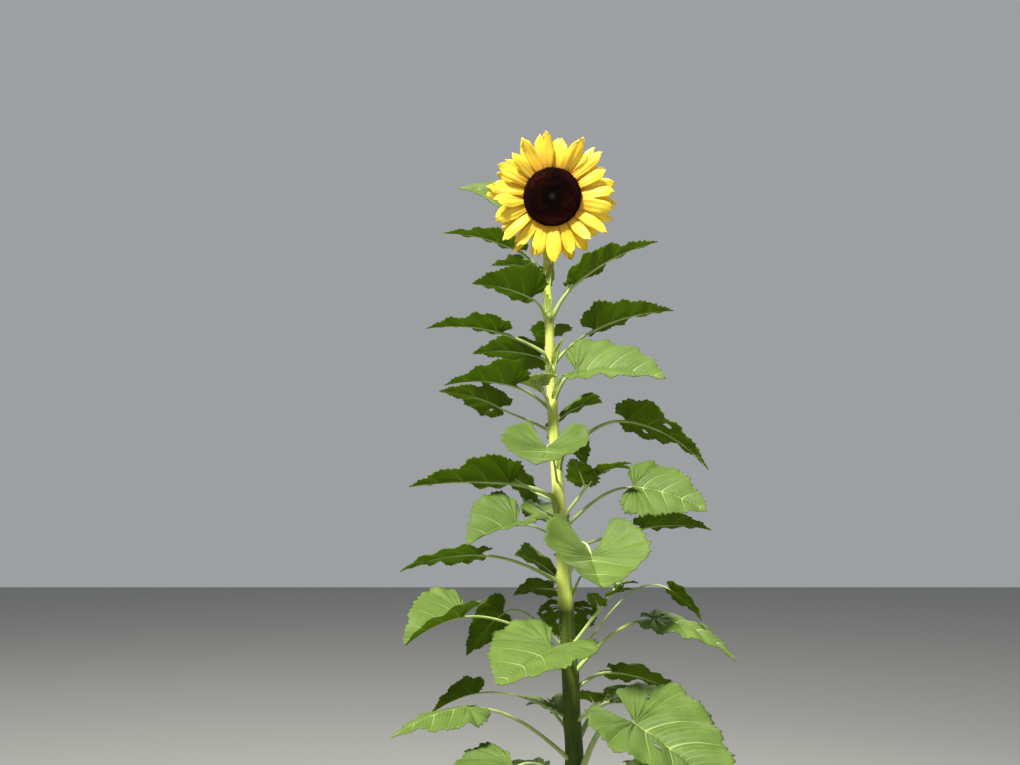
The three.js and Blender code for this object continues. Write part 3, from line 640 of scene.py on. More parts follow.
def tooth_cuts(plain, bent, row_shares, teeth, seed):
    """How far the teeth and the ragged edge stand out from the plain outline."""
    way = unit(np.gradient(plain, axis=0))
    outward = np.stack([-way[:, 1], way[:, 0]], axis=-1)
    outward[:, 1] = np.maximum(outward[:, 1], 0.15)
    rows = np.arange(len(row_shares))
    blade_size = sqrt(bent["length"] * bent["half_width"])
    size = between(TOOTH_SIZES, scatter(rows // ROWS_IN_TOOTH, seed))
    size = size * np.clip(row_shares * 6, 0.3, 1) * np.clip((1.02 - row_shares) * 5, 0, 1)
    cut = TOOTH_CUT[rows % ROWS_IN_TOOTH] * size * blade_size * TOOTH_DEPTH / teeth
    ragged = np.sin(rows * 0.31 + seed * 5) + np.sin(rows * 0.77 + seed * 9)
    cut += ragged * RAGGED * bent["length"] * np.sin(pi * row_shares)
    return outward * cut[:, None]


def blade_half(plain, cut, bent, row_shares, shares):
    """Distances along and across the midrib for one half, from the midrib to the toothed edge."""
    least = row_shares * ROOT_SPREAD * bent["length"]
    straight = plain[:, 0] - VEIN_SLOPE * plain[:, 1]
    root = np.maximum(least, straight * (1 - ROOT_SPREAD * (1 - row_shares)))
    near_edge = np.clip((shares - TOOTH_REACH) / (1 - TOOTH_REACH), 0, 1) ** 1.5
    along = root[:, None] + (plain[:, 0] - root)[:, None] * shares ** ROW_BOW + cut[:, :1] * near_edge
    return along, plain[:, 1:] * shares + cut[:, 1:] * near_edge


def side_by_side(left, right):
    """Both halves of a blade, with one column for the midrib that they share."""
    return np.concatenate([left[..., :0:-1], right], axis=-1)


def blade_shape(leaf, bent, tone, seed, columns):
    """The fine blade: toothed, quilted between its side veins and creased along them."""
    edge = SMOOTH_EDGED.get(leaf["name"], 1.0)
    rows = leaf["teeth"] * ROWS_IN_TOOTH + 1
    row_shares = np.linspace(0, TIP_ROW, rows)
    shares = np.array(columns, float)
    plain = outline_at(row_shares, leaf, bent)
    halves = []
    for sign in (-1, 1):
        cut = edge * tooth_cuts(plain, bent, row_shares, leaf["teeth"], seed + sign)
        along, across = blade_half(plain, cut, bent, row_shares, shares)
        halves.append(np.stack([along, sign * across]))
    along, across = side_by_side(*halves)
    reach = side_by_side(shares, shares)[None, :]
    vein_turn = np.arange(rows)[:, None] / (ROWS_IN_TOOTH * TEETH_IN_VEIN) + 0.5
    from_vein = np.abs(vein_turn - np.round(vein_turn))
    off = np.abs(across) / bent["length"]
    side_vein = np.exp(-(from_vein / SIDE_VEIN_WIDTH) ** 2) * np.clip(1.05 - reach, 0, 1) ** 0.6
    vein = np.maximum(side_vein * 0.85, np.exp(-(off / MIDRIB_WIDTH) ** 2))
    raised = np.sin(pi * np.clip(from_vein, 0, 0.5)) ** 1.2
    cushion = raised * np.sqrt(np.clip(reach * (1 - reach) * 4, 0, 1))
    wrinkle = np.cos(2 * pi * (reach * 4 + 3 * scatter(np.round(vein_turn), seed))) * cushion
    flop = np.sin(along / bent["length"] * 7 + seed * 3) * np.sin(across / bent["half_width"] * 2.2 + seed)
    frill = edge * np.sin(vein_turn * 4.4 + seed * 7) * np.maximum(0, reach - 0.35) ** 1.5
    relief = CUSHION * cushion - CREASE * vein * np.clip(1.2 - reach, 0, 1) + WRINKLE * wrinkle
    relief = relief + FLOP * flop * reach + FRILL * frill
    local = np.clip(plain[:, 1:] / (0.5 * np.max(plain[:, 1])), 0, 1)
    points = blade_points(bent, along, across, bent["length"] / PLAIN_BLADE * local * relief)
    thickness = BLADE_THICKNESS * (1 + VEIN_SWELL * vein)
    kept = whole_cells(leaf, rows, reach.size)
    return sheet(points, thickness, kept=kept, tone=tone, along=reach, turn=vein_turn, off=off)


def whole_cells(leaf, rows, columns):
    """Which cells of the blade are whole, where insects have eaten some."""
    kept = np.ones((rows - 1, columns - 1), bool)
    for row, column, tall, wide in EATEN.get(leaf["name"], ()):
        kept[row:row + tall, column:column + wide] = False
    return kept


def stalk_shape(start, leaf, bent, tone):
    """Grooved leaf stalk that runs on below the blade as its midrib."""
    start_way = heading(leaf["toward"], leaf["rise"] + leaf["arch"])
    end_way = heading(leaf["toward"] + leaf["turn"], bent["pitches"][0])
    span = np.linalg.norm(bent["base"] - start)
    shares = np.linspace(0, 1, STALK_STEPS + 1)
    line = hermite(start, bent["base"], start_way * span, end_way * span, shares[:, None])
    foot_radius = leaf["blade"] * STALK_FOOT_SHARE
    end_radius = leaf["blade"] * STALK_END_SHARE
    swell = STALK_FOOT_SWELL * np.exp(-shares / STALK_SWELL_FADE)
    radii = between((foot_radius, end_radius), shares) * (1 + swell)
    line[:, 2] -= shares * (BLADE_THICKNESS / 2 + end_radius * 0.55)
    rib_shares = np.linspace(*RIB_SPAN, RIB_STEPS)
    rib = blade_points(bent, rib_shares * leaf["blade"], np.zeros(RIB_STEPS))
    rib_radii = end_radius * (0.9 - 0.78 * rib_shares)
    under = unit(np.cross(bent["side"], unit(np.gradient(rib, axis=0))))
    line = np.concatenate([line, rib + under * (rib_radii * 0.62)[:, None]])
    tangents = unit(np.gradient(line, axis=0))
    side = bearing(leaf["toward"] + 90)
    groove = 1 - GROOVE_DEPTH * np.exp(-((circle(STALK_SIDES) - pi / 2) / GROOVE_WIDTH) ** 2)
    rings = []
    for centre, tangent, radius in zip(line, tangents, np.concatenate([radii, rib_radii])):
        rings.append(ring(centre, tangent, radius * groove, side))
    return loft(rings, finish=2, tone=tone)


def leaf_shape(row, start, seed, columns=COLUMN_SHARES):
    leaf = {**PLAIN_LEAF, **row}
    base = start + heading(leaf["toward"], leaf["rise"]) * leaf["stalk"]
    pitches = (leaf["pitch"] + leaf["bend"] / 2, leaf["pitch"] - leaf["bend"] / 2)
    toward, length = leaf["toward"] + leaf["turn"], leaf["blade"]
    bent = blade_frame(base, toward, length, length * leaf["width"], pitches, leaf["fold"], leaf["curl"],
                       leaf["roll"], leaf["wave"] * length, leaf["toward"])
    tone = leaf["tone"] + 0.25 * drift(seed, 3)
    return join([blade_shape(leaf, bent, tone, seed, columns), stalk_shape(start, leaf, bent, tone)])


# Materials

NET_SHARE = 0.08
FINE_VEIN_SHARE = 0.22
MAIN_VEIN_SHARE = 0.68


class Finish:
    """A material in the making. What is the same all over sits on its shader's own sockets."""

    def __init__(self, name, roughness=0.5, specular=0.5, sheen=0.0, colour=(0.8, 0.8, 0.8)):
        self.made = bpy.data.materials.new(name)
        self.made.use_nodes = True
        self.tree = self.made.node_tree
        self.tree.nodes.clear()
        looks = {"Base Color": colour, "Roughness": roughness, "Specular IOR Level": specular}
        self.shader = self.node("BsdfPrincipled", {**looks, "Sheen Weight": sheen})
        self.output = self.node("OutputMaterial", {"Surface": self.shader.outputs["BSDF"]})

    def fill(self, socket, value):
        """Gives a socket a link, a colour, or any other value."""
        if isinstance(value, bpy.types.NodeSocket):
            self.tree.links.new(value, socket)
        else:
            socket.default_value = (*value, 1) if socket.type == "RGBA" else value

    def node(self, kind, filled, **settings):
        """A node with its settings, and its inputs filled by their names or numbers."""
        node = self.tree.nodes.new("ShaderNode" + kind)
        for name, value in settings.items():
            setattr(node, name, value)
        for name, value in filled.items():
            self.fill(node.inputs[name], value)
        return node

    def value(self, name):
        """One of a shape's named values."""
        return self.node("Attribute", {}, attribute_name=name).outputs["Fac"]

    def position(self):
        return self.node("TexCoord", {}).outputs["Object"]

    def noise(self, scale, detail=3, stretch=(1.0, 1.0, 1.0)):
        place = self.node("Mapping", {"Vector": self.position(), "Scale": stretch}).outputs["Vector"]
        return self.node("TexNoise", {"Vector": place, "Scale": scale, "Detail": detail}).outputs["Fac"]

    def net(self, scale):
        """Thin lines of a fine net of veins."""
        filled = {"Vector": self.position(), "Scale": scale}
        cells = self.node("TexVoronoi", filled, feature="DISTANCE_TO_EDGE")
        return self.ranged(cells.outputs["Distance"], 0.0, 0.16, 1.0, 0.0)

    def ranged(self, source, low, high, to_low=0.0, to_high=1.0):
        filled = {"Value": source, "From Min": low, "From Max": high, "To Min": to_low, "To Max": to_high}
        return self.node("MapRange", filled).outputs["Result"]

    def maths(self, operation, first, second):
        return self.node("Math", {0: first, 1: second}, operation=operation).outputs["Value"]

    def add(self, first, second):
        return self.maths("ADD", first, second)

    def times(self, first, second):
        return self.maths("MULTIPLY", first, second)

    def uneven(self, source, share=1.0):
        """The shape's own tone, made uneven by a texture."""
        return self.add(self.value("tone"), self.times(self.add(source, -0.5), share))

    def ramp(self, source, *stops):
        node = self.node("ValToRGB", {"Fac": source})
        elements = node.color_ramp.elements
        while len(elements) < len(stops):
            elements.new(0.5)
        for element, (place, colour) in zip(elements, stops):
            element.position = place
            element.color = (*colour, 1)
        return node.outputs["Color"]

    def mix(self, share, first, second):
        """Mixes two colours. Their sockets have numbers, as other kinds of value share the names."""
        return self.node("Mix", {0: share, 6: first, 7: second}, data_type="RGBA").outputs[2]

    def lines(self, turn, gap, width):
        """Lines at every whole gap of a turning value, of a half width that may vary."""
        away = self.maths("PINGPONG", turn, gap / 2)
        return self.ranged(self.maths("DIVIDE", away, width), 0.35, 1.0, 1.0, 0.0)

    def colour(self, source):
        self.fill(self.shader.inputs["Base Color"], source)

    def roughness(self, source, smooth, rough):
        """Roughness that a texture varies between two values."""
        self.fill(self.shader.inputs["Roughness"], self.ranged(source, 0.3, 0.7, smooth, rough))

    def bump(self, height, strength, distance):
        filled = {"Height": height, "Strength": strength, "Distance": distance}
        self.fill(self.shader.inputs["Normal"], self.node("Bump", filled).outputs["Normal"])

    def lit_through(self, colour, share):
        """Mixes in light that comes through a thin leaf or petal."""
        through = self.node("BsdfTranslucent", {"Color": colour}).outputs["BSDF"]
        blend = self.node("MixShader", {"Fac": share, 1: self.shader.outputs["BSDF"], 2: through})
        self.fill(self.output.inputs["Surface"], blend.outputs["Shader"])


def leaf_veins(kit):
    """Masks of a blade's main veins, its side veins, the finer ones and the net between."""
    width = kit.times(kit.maths("SUBTRACT", 1.1, kit.value("along")), 0.07)
    side = kit.lines(kit.value("turn"), 1.0, width)
    fine = kit.lines(kit.value("turn"), 0.2, kit.times(width, 0.5))
    taper = kit.ranged(kit.value("turn"), 0.5, 8.5, 1.0, 0.3)
    midrib = kit.ranged(kit.maths("DIVIDE", kit.value("off"), taper), 0.009, 0.020, 1.0, 0.0)
    return kit.maths("MAXIMUM", side, midrib), side, fine, kit.net(330)


def leaf_material(name, colours, roughness, gloss, relief, through):
    """Blade side: mottled green with paler veins, a fine net between them and light coming through."""
    dark, light, vein_colour, through_colour = colours
    kit = Finish(name, specular=gloss)
    main, side, fine, net = leaf_veins(kit)
    colour = kit.ramp(kit.uneven(kit.noise(34, 4), 0.9), (0.1, dark), (0.9, light))
    for mask, share in ((net, NET_SHARE), (fine, FINE_VEIN_SHARE), (main, MAIN_VEIN_SHARE)):
        colour = kit.mix(kit.times(mask, share), colour, vein_colour)
    kit.colour(colour)
    kit.roughness(kit.noise(160, 3), roughness - 0.06, roughness + 0.08)
    small = kit.add(kit.times(fine, 0.35), kit.times(net, 0.25))
    grain = kit.add(kit.add(side, small), kit.times(kit.noise(240, 3), 0.5))
    kit.bump(kit.times(grain, relief), 0.6, 0.0009)
    kit.lit_through(kit.mix(0.75, colour, through_colour), through)
    return kit.made


def stalk_material():
    kit = Finish("stalk_skin", sheen=0.3)
    tone = kit.uneven(kit.noise(60, 3, (1.0, 1.0, 0.25)))
    kit.colour(kit.ramp(tone, (0.1, (0.16, 0.26, 0.05)), (0.9, (0.42, 0.52, 0.14))))
    kit.bump(kit.noise(420, 2), 0.5, 0.0006)
    return kit.made


def stem_material():
    """Streaked skin: brown at the foot, then green, then a dark dull green that is partly an older stem's
    colour and partly painted shade from the leaves above, pale yellow, and green as the cup on top.
    """
    kit = Finish("stem_skin", specular=0.18, sheen=0.03)
    along = kit.value("along")
    streaks = kit.noise(170, 3, (1.0, 1.0, 0.06))
    mixed = kit.add(kit.times(streaks, 0.6), kit.times(kit.noise(22, 3), 0.4))
    low = kit.ramp(mixed, (0.32, (0.060, 0.100, 0.008)), (0.68, (0.15, 0.21, 0.025)))
    # Dark dull green: partly the darker colour of an older stem, partly painted shade that the leaves above
    # cast on it.
    painted_shade_olive = kit.ramp(mixed, (0.32, (0.024, 0.042, 0.001)), (0.68, (0.066, 0.105, 0.004)))
    pale = kit.ramp(mixed, (0.32, (0.33, 0.42, 0.06)), (0.68, (0.62, 0.66, 0.17)))
    foot = kit.ramp(mixed, (0.3, (0.12, 0.09, 0.04)), (0.7, (0.30, 0.24, 0.12)))
    cup = kit.ramp(kit.noise(120, 3), (0.3, (0.17, 0.28, 0.060)), (0.7, (0.26, 0.38, 0.095)))
    colour = kit.mix(kit.ranged(along, 0.45, 0.62), low, painted_shade_olive)
    # The sharp step from the dark dull green up to pale yellow, at along 0.722 to 0.733, is a painted shadow
    # edge.
    colour = kit.mix(kit.ranged(along, 0.722, 0.733), colour, pale)
    colour = kit.mix(kit.ranged(along, 0.0, 0.07, 0.85, 0.0), colour, foot)
    kit.colour(kit.mix(kit.ranged(along, 1.10, 1.19), colour, cup))
    kit.roughness(streaks, 0.4, 0.6)
    kit.bump(kit.add(streaks, kit.times(kit.noise(500, 2), 0.5)), 0.6, 0.0008)
    return kit.made


def ray_material():
    """Yellow petal, orange towards its foot and along its pleats."""
    kit = Finish("ray_petal", sheen=0.15)
    streaks = kit.noise(320, 2)
    outer = kit.ramp(kit.uneven(streaks), (0.1, (0.92, 0.64, 0.020)), (0.9, (0.96, 0.77, 0.052)))
    near_foot = kit.ranged(kit.value("along"), 0.0, 0.44, 0.9, 0.0)
    colour = kit.mix(near_foot, outer, (0.84, 0.36, 0.006))
    colour = kit.mix(kit.times(kit.value("vein"), 0.4), colour, (0.82, 0.50, 0.004))
    kit.colour(colour)
    kit.bump(streaks, 0.35, 0.0005)
    kit.lit_through(colour, 0.22)
    return kit.made


def floret_material():
    kit = Finish("disc_floret", roughness=0.8, specular=0.08)
    speck = kit.noise(900, 2)
    colour = kit.ramp(
        kit.uneven(speck, 0.5), (0.0, (0.002, 0.001, 0.001)), (0.35, (0.0075, 0.001, 0.001)),
        (0.7, (0.036, 0.0035, 0.0018)), (1.0, (0.125, 0.024, 0.007)),
    )
    kit.colour(kit.mix(kit.value("vein"), colour, (0.10, 0.12, 0.07)))
    kit.bump(speck, 0.4, 0.0004)
    return kit.made


def bract_material():
    kit = Finish("bract_skin", roughness=0.6, sheen=0.35)
    body = kit.ramp(kit.uneven(kit.noise(120, 3)), (0.1, (0.12, 0.22, 0.04)), (0.9, (0.30, 0.42, 0.11)))
    kit.colour(kit.mix(kit.times(kit.value("vein"), 0.6), body, (0.42, 0.52, 0.2)))
    kit.bump(kit.noise(500, 2), 0.5, 0.0005)
    return kit.made


def hair_material():
    kit = Finish("stem_hair", roughness=0.45)
    kit.colour(kit.ramp(kit.noise(80, 2), (0.3, (0.62, 0.68, 0.45)), (0.7, (0.85, 0.88, 0.72))))
    return kit.made


# Dark and light green of a blade's side, its veins, and the light that comes through it
TOP_COLOURS = [(0.060, 0.115, 0.012), (0.170, 0.262, 0.045), (0.40, 0.51, 0.19), (0.36, 0.56, 0.012)]
# The under side's greens are darker than the top's: painted shade, for an under side that faces away from the
# light.
UNDER_COLOURS_WITH_PAINTED_SHADE = [(0.046, 0.080, 0.002), (0.108, 0.160, 0.007), (0.23, 0.30, 0.040), (0.38, 0.58, 0.004)]
YOUNG_COLOURS = [(0.150, 0.230, 0.030), (0.330, 0.430, 0.085), (0.50, 0.60, 0.20), (0.36, 0.50, 0.020)]
RAISED = 1.0
SUNK = -1.0
STALK_SKIN = stalk_material()
LEAF_FINISHES = [
    leaf_material("leaf_top", TOP_COLOURS, 0.55, 0.3, SUNK, 0.34),
    leaf_material("leaf_under", UNDER_COLOURS_WITH_PAINTED_SHADE, 0.8, 0.15, RAISED, 0.46),
    STALK_SKIN,
]
YOUNG_FINISHES = [
    leaf_material("young_leaf_top", YOUNG_COLOURS, 0.45, 0.4, SUNK, 0.4),
    leaf_material("young_leaf_under", YOUNG_COLOURS, 0.7, 0.2, RAISED, 0.4),
    STALK_SKIN,
]


# Pieces of the plant

def make_stem():
    straight, heights = straight_rings()
    along = np.concatenate([heights / STRAIGHT_TOP, np.linspace(1, HEAD_ALONG, NECK_RINGS)])
    one = loft(straight + neck_rings(), along=along, tone=0.5)
    add_piece("stem_dressed", one, [stem_material()], ["stem"])


def make_hairs():
    """Short stiff hairs all over the stem, each a slim three-sided point."""
    index = np.arange(STEM_HAIRS)
    heights = between(HAIR_HEIGHTS, scatter(index, 1))
    turns = 360 * scatter(index, 2)
    lengths = between(HAIR_LENGTHS, scatter(index, 3))
    leans = between(HAIR_LEANS, scatter(index, 4))
    points, faces = [], []
    for height, turn, length, lean in zip(heights, turns, lengths, leans):
        outward, level = bearing(turn), bearing(turn + 90)
        root = stem_centre(height) + outward * (stem_radius(height) * HAIR_ROOT_SHARE)
        start = len(points)
        for angle in circle(3):
            points.append(root + (level * cos(angle) + UP * sin(angle)) * HAIR_RADIUS)
        points.append(root + unit(outward + UP * lean) * length)
        faces += [(start, start + 1, start + 3), (start + 1, start + 2, start + 3),
                  (start + 2, start, start + 3), (start + 2, start + 1, start)]
    add_piece("stem_hairs", shape(points, faces, tone=0.5), [hair_material()])


def make_leaves():
    """Each leaf grows from the stem's middle, as in the model."""
    for index, leaf in enumerate(ALL_LEAVES):
        fine = dict(leaf, teeth=TEETH_OF_LARGE if leaf["blade"] > LARGE_BLADE else TEETH)
        one = leaf_shape(fine, stem_centre(leaf["height"]), index + 1.0)
        add_piece(f"{leaf['name']}_leaf", one, LEAF_FINISHES, [f"leaf_{leaf['name']}"])


def make_axil_leaflets():
    shapes = []
    for index, leaflet in enumerate(AXIL_LEAFLETS):
        height = leaflet["height"]
        place = stem_centre(height) + bearing(leaflet["toward"]) * stem_radius(height) * 0.8
        shapes.append(leaf_shape({**leaflet, **AXIL_SHAPE}, place, AXIL_SEED + index, AXIL_COLUMNS))
    add_piece("axil_leaflets", join(shapes), YOUNG_FINISHES)


def bud_shape(place, way, size, seed):
    """Green flower bud: a rounded body in a ring of pointed bracts."""
    reference = unit(np.cross(way, RIGHT + 0.1 * UP))
    profile = []
    for share in np.linspace(0, 1, 9):
        profile.append((size * 1.1 * share, size * (0.16 + 0.5 * sin(pi * min(1, 0.12 + 0.8 * share)))))
    shapes = [tube(place, way, reference, SPRIG_SIDES, profile, finish=2, tone=0.7)]
    side = np.cross(way, reference)
    for bract in range(BUD_BRACTS):
        angle = 2 * pi * bract / BUD_BRACTS + seed
        out = reference * cos(angle) + side * sin(angle)
        level = np.cross(way, out)
        rows = []
        for share in np.linspace(0, 1, 6):
            wide = size * 0.3 * (1 - share) ** 0.7 + 0.15
            forward = size * (0.15 + 1.3 * share)
            outward = size * (0.5 + 0.35 * sin(2.4 * share))
            centre = place + way * forward + out * outward
            rows.append([centre - level * wide, centre + out * 0.4, centre + level * wide])
        rows = np.array(rows)
        shapes.append(sheet(rows, BUD_BRACT_THICKNESS, tone=0.8))
    return join(shapes)


def sprig_leaf(sprig, index):
    """A sprig's leaves fan out round its way, each shorter and flatter than the one before."""
    toward = sprig["toward"] + SPRIG_FAN * (index - (SPRIG_LEAVES - 1) / 2)
    blade = sprig["leaf"] * (1 - 0.12 * index)
    own = {"width": sprig["width"], "fold": sprig["fold"], "pitch": 24 - 10 * index}
    return {**SPRIG_SHAPE, **own, "toward": toward, "blade": blade}


def sprig_shape(sprig, number):
    """A thin stalk that carries a few leaves and ends in a bud."""
    start = stem_centre(sprig["height"])
    way = heading(sprig["toward"], sprig["rise"])
    length = sprig["length"]
    profile = []
    for share in np.linspace(0, 1, 14):
        profile.append((length * share, SPRIG_RADIUS * (1 - 0.35 * share) * (1 + 0.5 * exp(-share / 0.1))))
    shapes = [tube(start, way, bearing(sprig["toward"] + 90), SPRIG_SIDES, profile, finish=2, tone=0.75)]
    for index in range(SPRIG_LEAVES):
        place = start + way * length * (SPRIG_FIRST_LEAF + SPRIG_LEAF_STEP * index)
        seed = SPRIG_SEED + number * 5 + index
        shapes.append(leaf_shape(sprig_leaf(sprig, index), place, seed, SPRIG_COLUMNS))
    shapes.append(bud_shape(start + way * (length - 2), way, BUD_SIZE, number))
    return join(shapes)


def make_sprigs():
    for number, sprig in enumerate(SPRIGS):
        name = sprig["name"]
        # Sprigs listed as pale take the young finish, whose paleness is partly painted light.
        finishes = YOUNG_FINISHES if name in PALE_SPRIGS_WITH_PAINTED_LIGHT else LEAF_FINISHES
        add_piece(f"{name}_sprig", sprig_shape(sprig, number), finishes, [f"sprig_{name}"])


# Head, first in a frame whose +Z is the way the flower looks

def head_turn():
    """Matrix from the flower's own frame to the plant's, by the shortest turn."""
    axis = np.cross(UP, HEAD_AXIS)
    sine = np.linalg.norm(axis)
    cosine = float(np.dot(UP, HEAD_AXIS))
    x, y, z = axis / sine
    cross = np.array([[0, -z, y], [z, 0, -x], [-y, x, 0]])
    return np.eye(3) + sine * cross + (1 - cosine) * cross @ cross


HEAD_TURN = head_turn()


def on_head(one):
    """The shape turned and moved from the flower's own frame to the plant's."""
    return {**one, "points": one["points"] @ HEAD_TURN.T + HEAD_CENTRE}


def turned_rings(profile, sides, lobes=0, lobe_depth=0.0):
    """Rings of a turned form from its radii and heights, with shallow lobes if asked."""
    angles = circle(sides)
    wave = lobe_depth * np.cos(lobes * angles)
    rings = []
    for radius, height in profile:
        out = radius + wave
        rings.append(np.stack([out * np.cos(angles), out * np.sin(angles), np.full(sides, height)], axis=-1))
    return rings


def shares_of_grid(rows, columns):
    """Shares along a strip, as a column, and across it from edge to edge, as a row."""
    return np.linspace(0, 1, rows)[:, None], np.linspace(-1, 1, columns)[None, :]


def ray_shape(index, offset, foot, lift, end):
    """One petal: pleated lengthwise, waved, with a cut tip."""
    seed = index + offset * 31
    angle = 360 * (index + offset) / RAYS_IN_ROW + RAY_JITTER * sin(index * 12.9 + offset * 7.1)
    length = RAY_LENGTH * (1 + RAY_LENGTH_VARIES * sin(index * 4.3 + offset))
    width = RAY_WIDTH * (1 + RAY_WIDTH_VARIES * sin(index * 5.1 + offset * 2))
    sway = RAY_SWAY * sin(index * 2.7 + offset * 3)
    base = bearing(angle) * (DISC_RADIUS - 4) + UP * foot
    pitches = (lift + sway, end + sway + RAY_TIP_SWAY * drift(seed, 8))
    roll = RAY_ROLL * drift(seed, 5)
    bent = blade_frame(base, angle, length, width, pitches, RAY_FOLD, RAY_CURL, roll)
    share, across = shares_of_grid(*RAY_GRID)
    outline = np.interp(share, *RAY_OUTLINE)
    tooth_turn = across * (6 + 4 * float(scatter(seed, 9))) + seed * 2
    teeth = 0.08 * np.maximum(0, np.cos(tooth_turn)) * share ** 8
    slant = 0.06 * across * sin(seed * 3.7) * share ** 4
    along = length * (share * (1.03 - 0.09 * across ** 2 * share ** 3) - teeth + slant)
    sweep = 0.07 * length * sin(seed * 2.3) * share ** 2
    sideways = across * outline * width / 2 * (1 + 0.07 * np.sin(share * 8 + seed)) + sweep
    pleat_turn = across * RAY_PLEATS * pi
    pleat = 0.55 * np.cos(pleat_turn + seed) * np.sin(pi * np.clip(share * 1.1, 0, 1))
    waver = 2.2 * np.sin(share * 4 + seed * 1.7) * share + 1.5 * np.sin(share * 8 + seed * 2) * across * share
    points = blade_points(bent, along, sideways, pleat + waver)
    vein = np.clip(-np.cos(pleat_turn), 0, 1) * (1 - share) ** 0.7
    tone = 0.5 + 0.35 * drift(seed, 6)
    return sheet(points, RAY_THICKNESS, (0, 0), tone=tone, vein=vein, along=share)


def make_rays():
    """Two rows of petals, each fused to a thin round plate."""
    finish = ray_material()
    for name, top, offset, lift, end in PETAL_ROWS:
        profile = [(DISC_RADIUS - 1, top - PLATE), (DISC_RADIUS, top - PLATE / 2), (DISC_RADIUS - 1, top)]
        shapes = [loft(turned_rings(profile, PLATE_SIDES), tone=0.3)]
        for index in range(RAYS_IN_ROW):
            shapes.append(ray_shape(index, offset, top - PLATE / 2, lift, end))
        add_piece(f"{name}_petals", on_head(join(shapes)), [finish], [name])


def dome_height(radius):
    share = radius / DISC_RADIUS
    return DISC_DOME * (1 - share ** 2) - 3 * np.maximum(0, 0.45 - share)


def make_disc():
    """Dome of the disc with its spiral of florets."""
    profile = [(DISC_RADIUS - 2, -PLATE), (DISC_RADIUS, -1.0)]
    for share in np.linspace(0.98, 0.03, 26):
        profile.append((DISC_RADIUS * share, float(dome_height(DISC_RADIUS * share)) - 1.5))
    shapes = [loft(turned_rings(profile, DISC_SIDES), tone=0.1)]
    for index in range(FLORETS):
        share = sqrt((index + 0.5) / FLORETS)
        shapes.append(floret_shape(share, FLORET_TURN * index, index))
    finish = floret_material()
    add_piece("disc_florets", on_head(join(shapes)), [finish], ["disc"], smooth=False)


def floret_shape(share, angle, index):
    """One tiny tube: open and tall near the rim, shut and short inside."""
    radius = (DISC_RADIUS - 1) * share
    outward = bearing(angle)
    place = outward * radius + UP * (float(dome_height(radius)) - 1.6)
    way = unit(UP + outward * (0.05 + 0.35 * float(scatter(index, 1))) * share)
    tall = 2.0 + 2.6 * np.clip((share - 0.55) / 0.35, 0, 1) + 0.7 * float(scatter(index, 2))
    wide = 0.75 + 0.25 * share
    open_top = 0.5 + 0.55 * float(np.clip((share - 0.6) / 0.3, 0, 1))
    profile = [(0, 0.8 * wide), (0.45 * tall, wide), (0.8 * tall, 0.75 * wide), (tall, open_top * wide)]
    ruddy = np.clip((share - 0.26) / 0.16, 0, 1) * (1 - 0.7 * np.clip((share - 0.86) / 0.1, 0, 1))
    turn = radians(angle)
    patch = 0.12 * sin(2 * turn + 5 * share) + 0.1 * sin(3 * turn - 7 * share)
    bright = 0.18 + ruddy * (0.2 + patch + 0.45 * float(scatter(index, 3)))
    middle = float(np.clip(1 - share / 0.13, 0, 1)) ** 0.5
    tones = np.array([0.1, 0.2, bright * 0.7, bright])
    return tube(place, way, bearing(angle + 90), FLORET_SIDES, profile, tone=tones, vein=middle * 0.8)


def bract_shape(angle, radius, height, *pitches):
    """One pointed bract under the petals."""
    base = bearing(angle) * radius + UP * height
    bent = blade_frame(base, angle, BRACT_LENGTH, BRACT_WIDTH, pitches, BRACT_FOLD, BRACT_CURL)
    share, across = shares_of_grid(*BRACT_GRID)
    sideways = across * np.interp(share, *BRACT_OUTLINE) * BRACT_WIDTH / 2
    points = blade_points(bent, share * BRACT_LENGTH, sideways, 0.8 * np.sin(share * 4 + angle))
    tone = 0.35 + 0.4 * float(scatter(angle, 2))
    vein = np.exp(-(across / 0.16) ** 2)
    return sheet(points, BRACT_THICKNESS, (0, 0), tone=tone, vein=vein)


def make_receptacle():
    """Green cup behind the petals, with two rows of bracts."""
    profile = [(radius, CUP_BACK + height) for radius, height, _ in CUP_PROFILE]
    tones = np.array([tone for _, _, tone in CUP_PROFILE])
    shapes = [loft(turned_rings(profile, CUP_SIDES, CUP_LOBES, CUP_LOBE_DEPTH), tone=tones)]
    for offset, *place in BRACT_ROWS:
        for index in range(BRACTS):
            shapes.append(bract_shape(360 * (index + offset) / BRACTS, *place))
    add_piece("receptacle_bracts", on_head(join(shapes)), [bract_material()], ["receptacle"])


# Stage, in metres

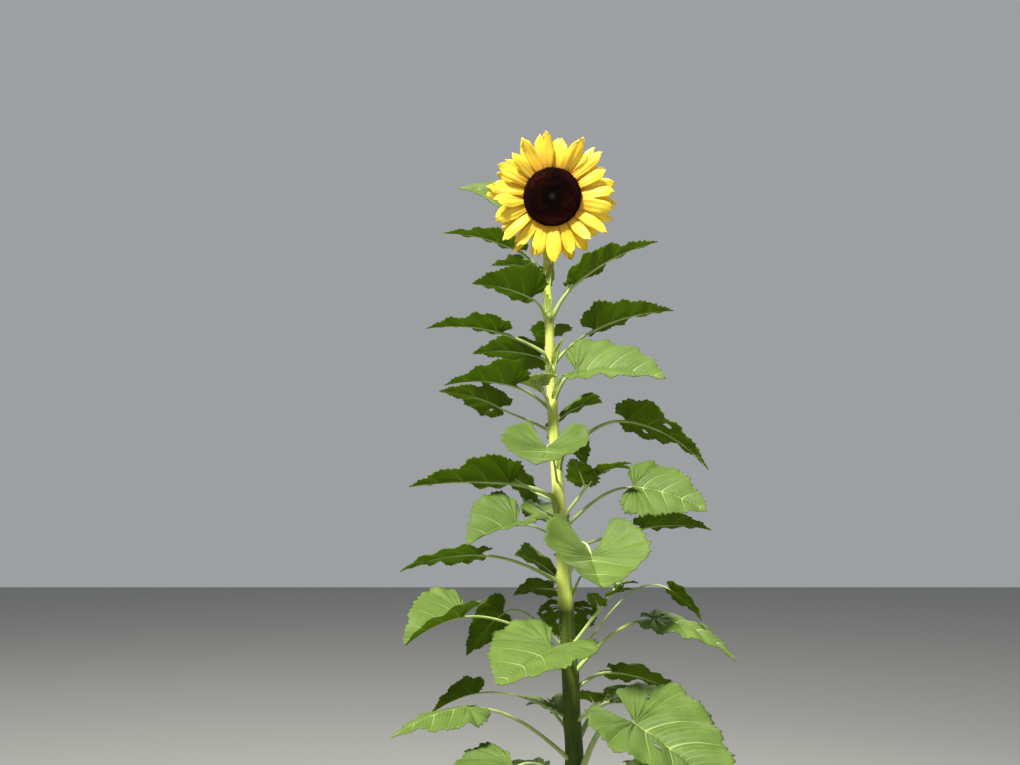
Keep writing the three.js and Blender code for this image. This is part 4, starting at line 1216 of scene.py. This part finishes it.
FLOOR_SIZE = 60
FLOOR_COLOUR = (0.32, 0.32, 0.31)
SKY_COLOUR = (0.94, 0.97, 1.0, 1)
SKY_STRENGTH = 0.36
LIT_POINT = (-0.05, 0.0, 1.4)

# Each light: name, place, size, power and colour
LIGHTS = (
    ("key", (-3.37, -5.51, 8.96), 1.1, 2760, (1.0, 0.97, 0.90)),
    ("fill", (3.2, -2.6, 2.2), 2.6, 9, (0.88, 0.94, 1.0)),
    ("rim", (1.6, 3.2, 4.4), 1.6, 90, (1.0, 0.98, 0.92)),
)

# Camera: its place, focal length and width of the picture in pixels, and degrees it looks upwards
EYE = (-0.128, -1.126, 1.45)
LENS_PIXELS = 766
IMAGE_WIDTH = 1020
CAMERA_PITCH = 12.3
SENSOR_WIDTH = 36


def make_floor():
    mesh = bpy.data.meshes.new("floor")
    half = FLOOR_SIZE / 2
    corners = [(-half, -half, 0), (half, -half, 0), (half, half, 0), (-half, half, 0)]
    mesh.from_pydata(corners, [], [(0, 1, 2, 3)])
    mesh.materials.append(Finish("floor_paint", roughness=0.8, colour=FLOOR_COLOUR).made)
    floor = add_object("floor", mesh)


def make_lights():
    for name, place, size, power, colour in LIGHTS:
        light = bpy.data.lights.new(name, "AREA")
        light.size = size
        light.energy = power
        light.color = colour
        way = Vector(LIT_POINT) - Vector(place)
        add_object(name, light, place, way.to_track_quat("-Z", "Y").to_euler())


def make_sky():
    world = bpy.data.worlds.new("studio")
    world.use_nodes = True
    sky = world.node_tree.nodes["Background"]
    sky.inputs["Color"].default_value = SKY_COLOUR
    sky.inputs["Strength"].default_value = SKY_STRENGTH
    bpy.context.scene.world = world
    bpy.context.scene.view_settings.view_transform = "Standard"


def make_camera():
    camera = bpy.data.cameras.new("camera")
    camera.sensor_width = SENSOR_WIDTH
    camera.lens = SENSOR_WIDTH * LENS_PIXELS / IMAGE_WIDTH
    camera.clip_end = 200
    turn = (radians(90 + CAMERA_PITCH), 0, 0)
    bpy.context.scene.camera = add_object("camera", camera, EYE, turn)


make_stem()
make_hairs()
make_leaves()
make_sprigs()
make_axil_leaflets()
make_receptacle()
make_rays()
make_disc()
make_floor()
make_lights()
make_sky()
make_camera()
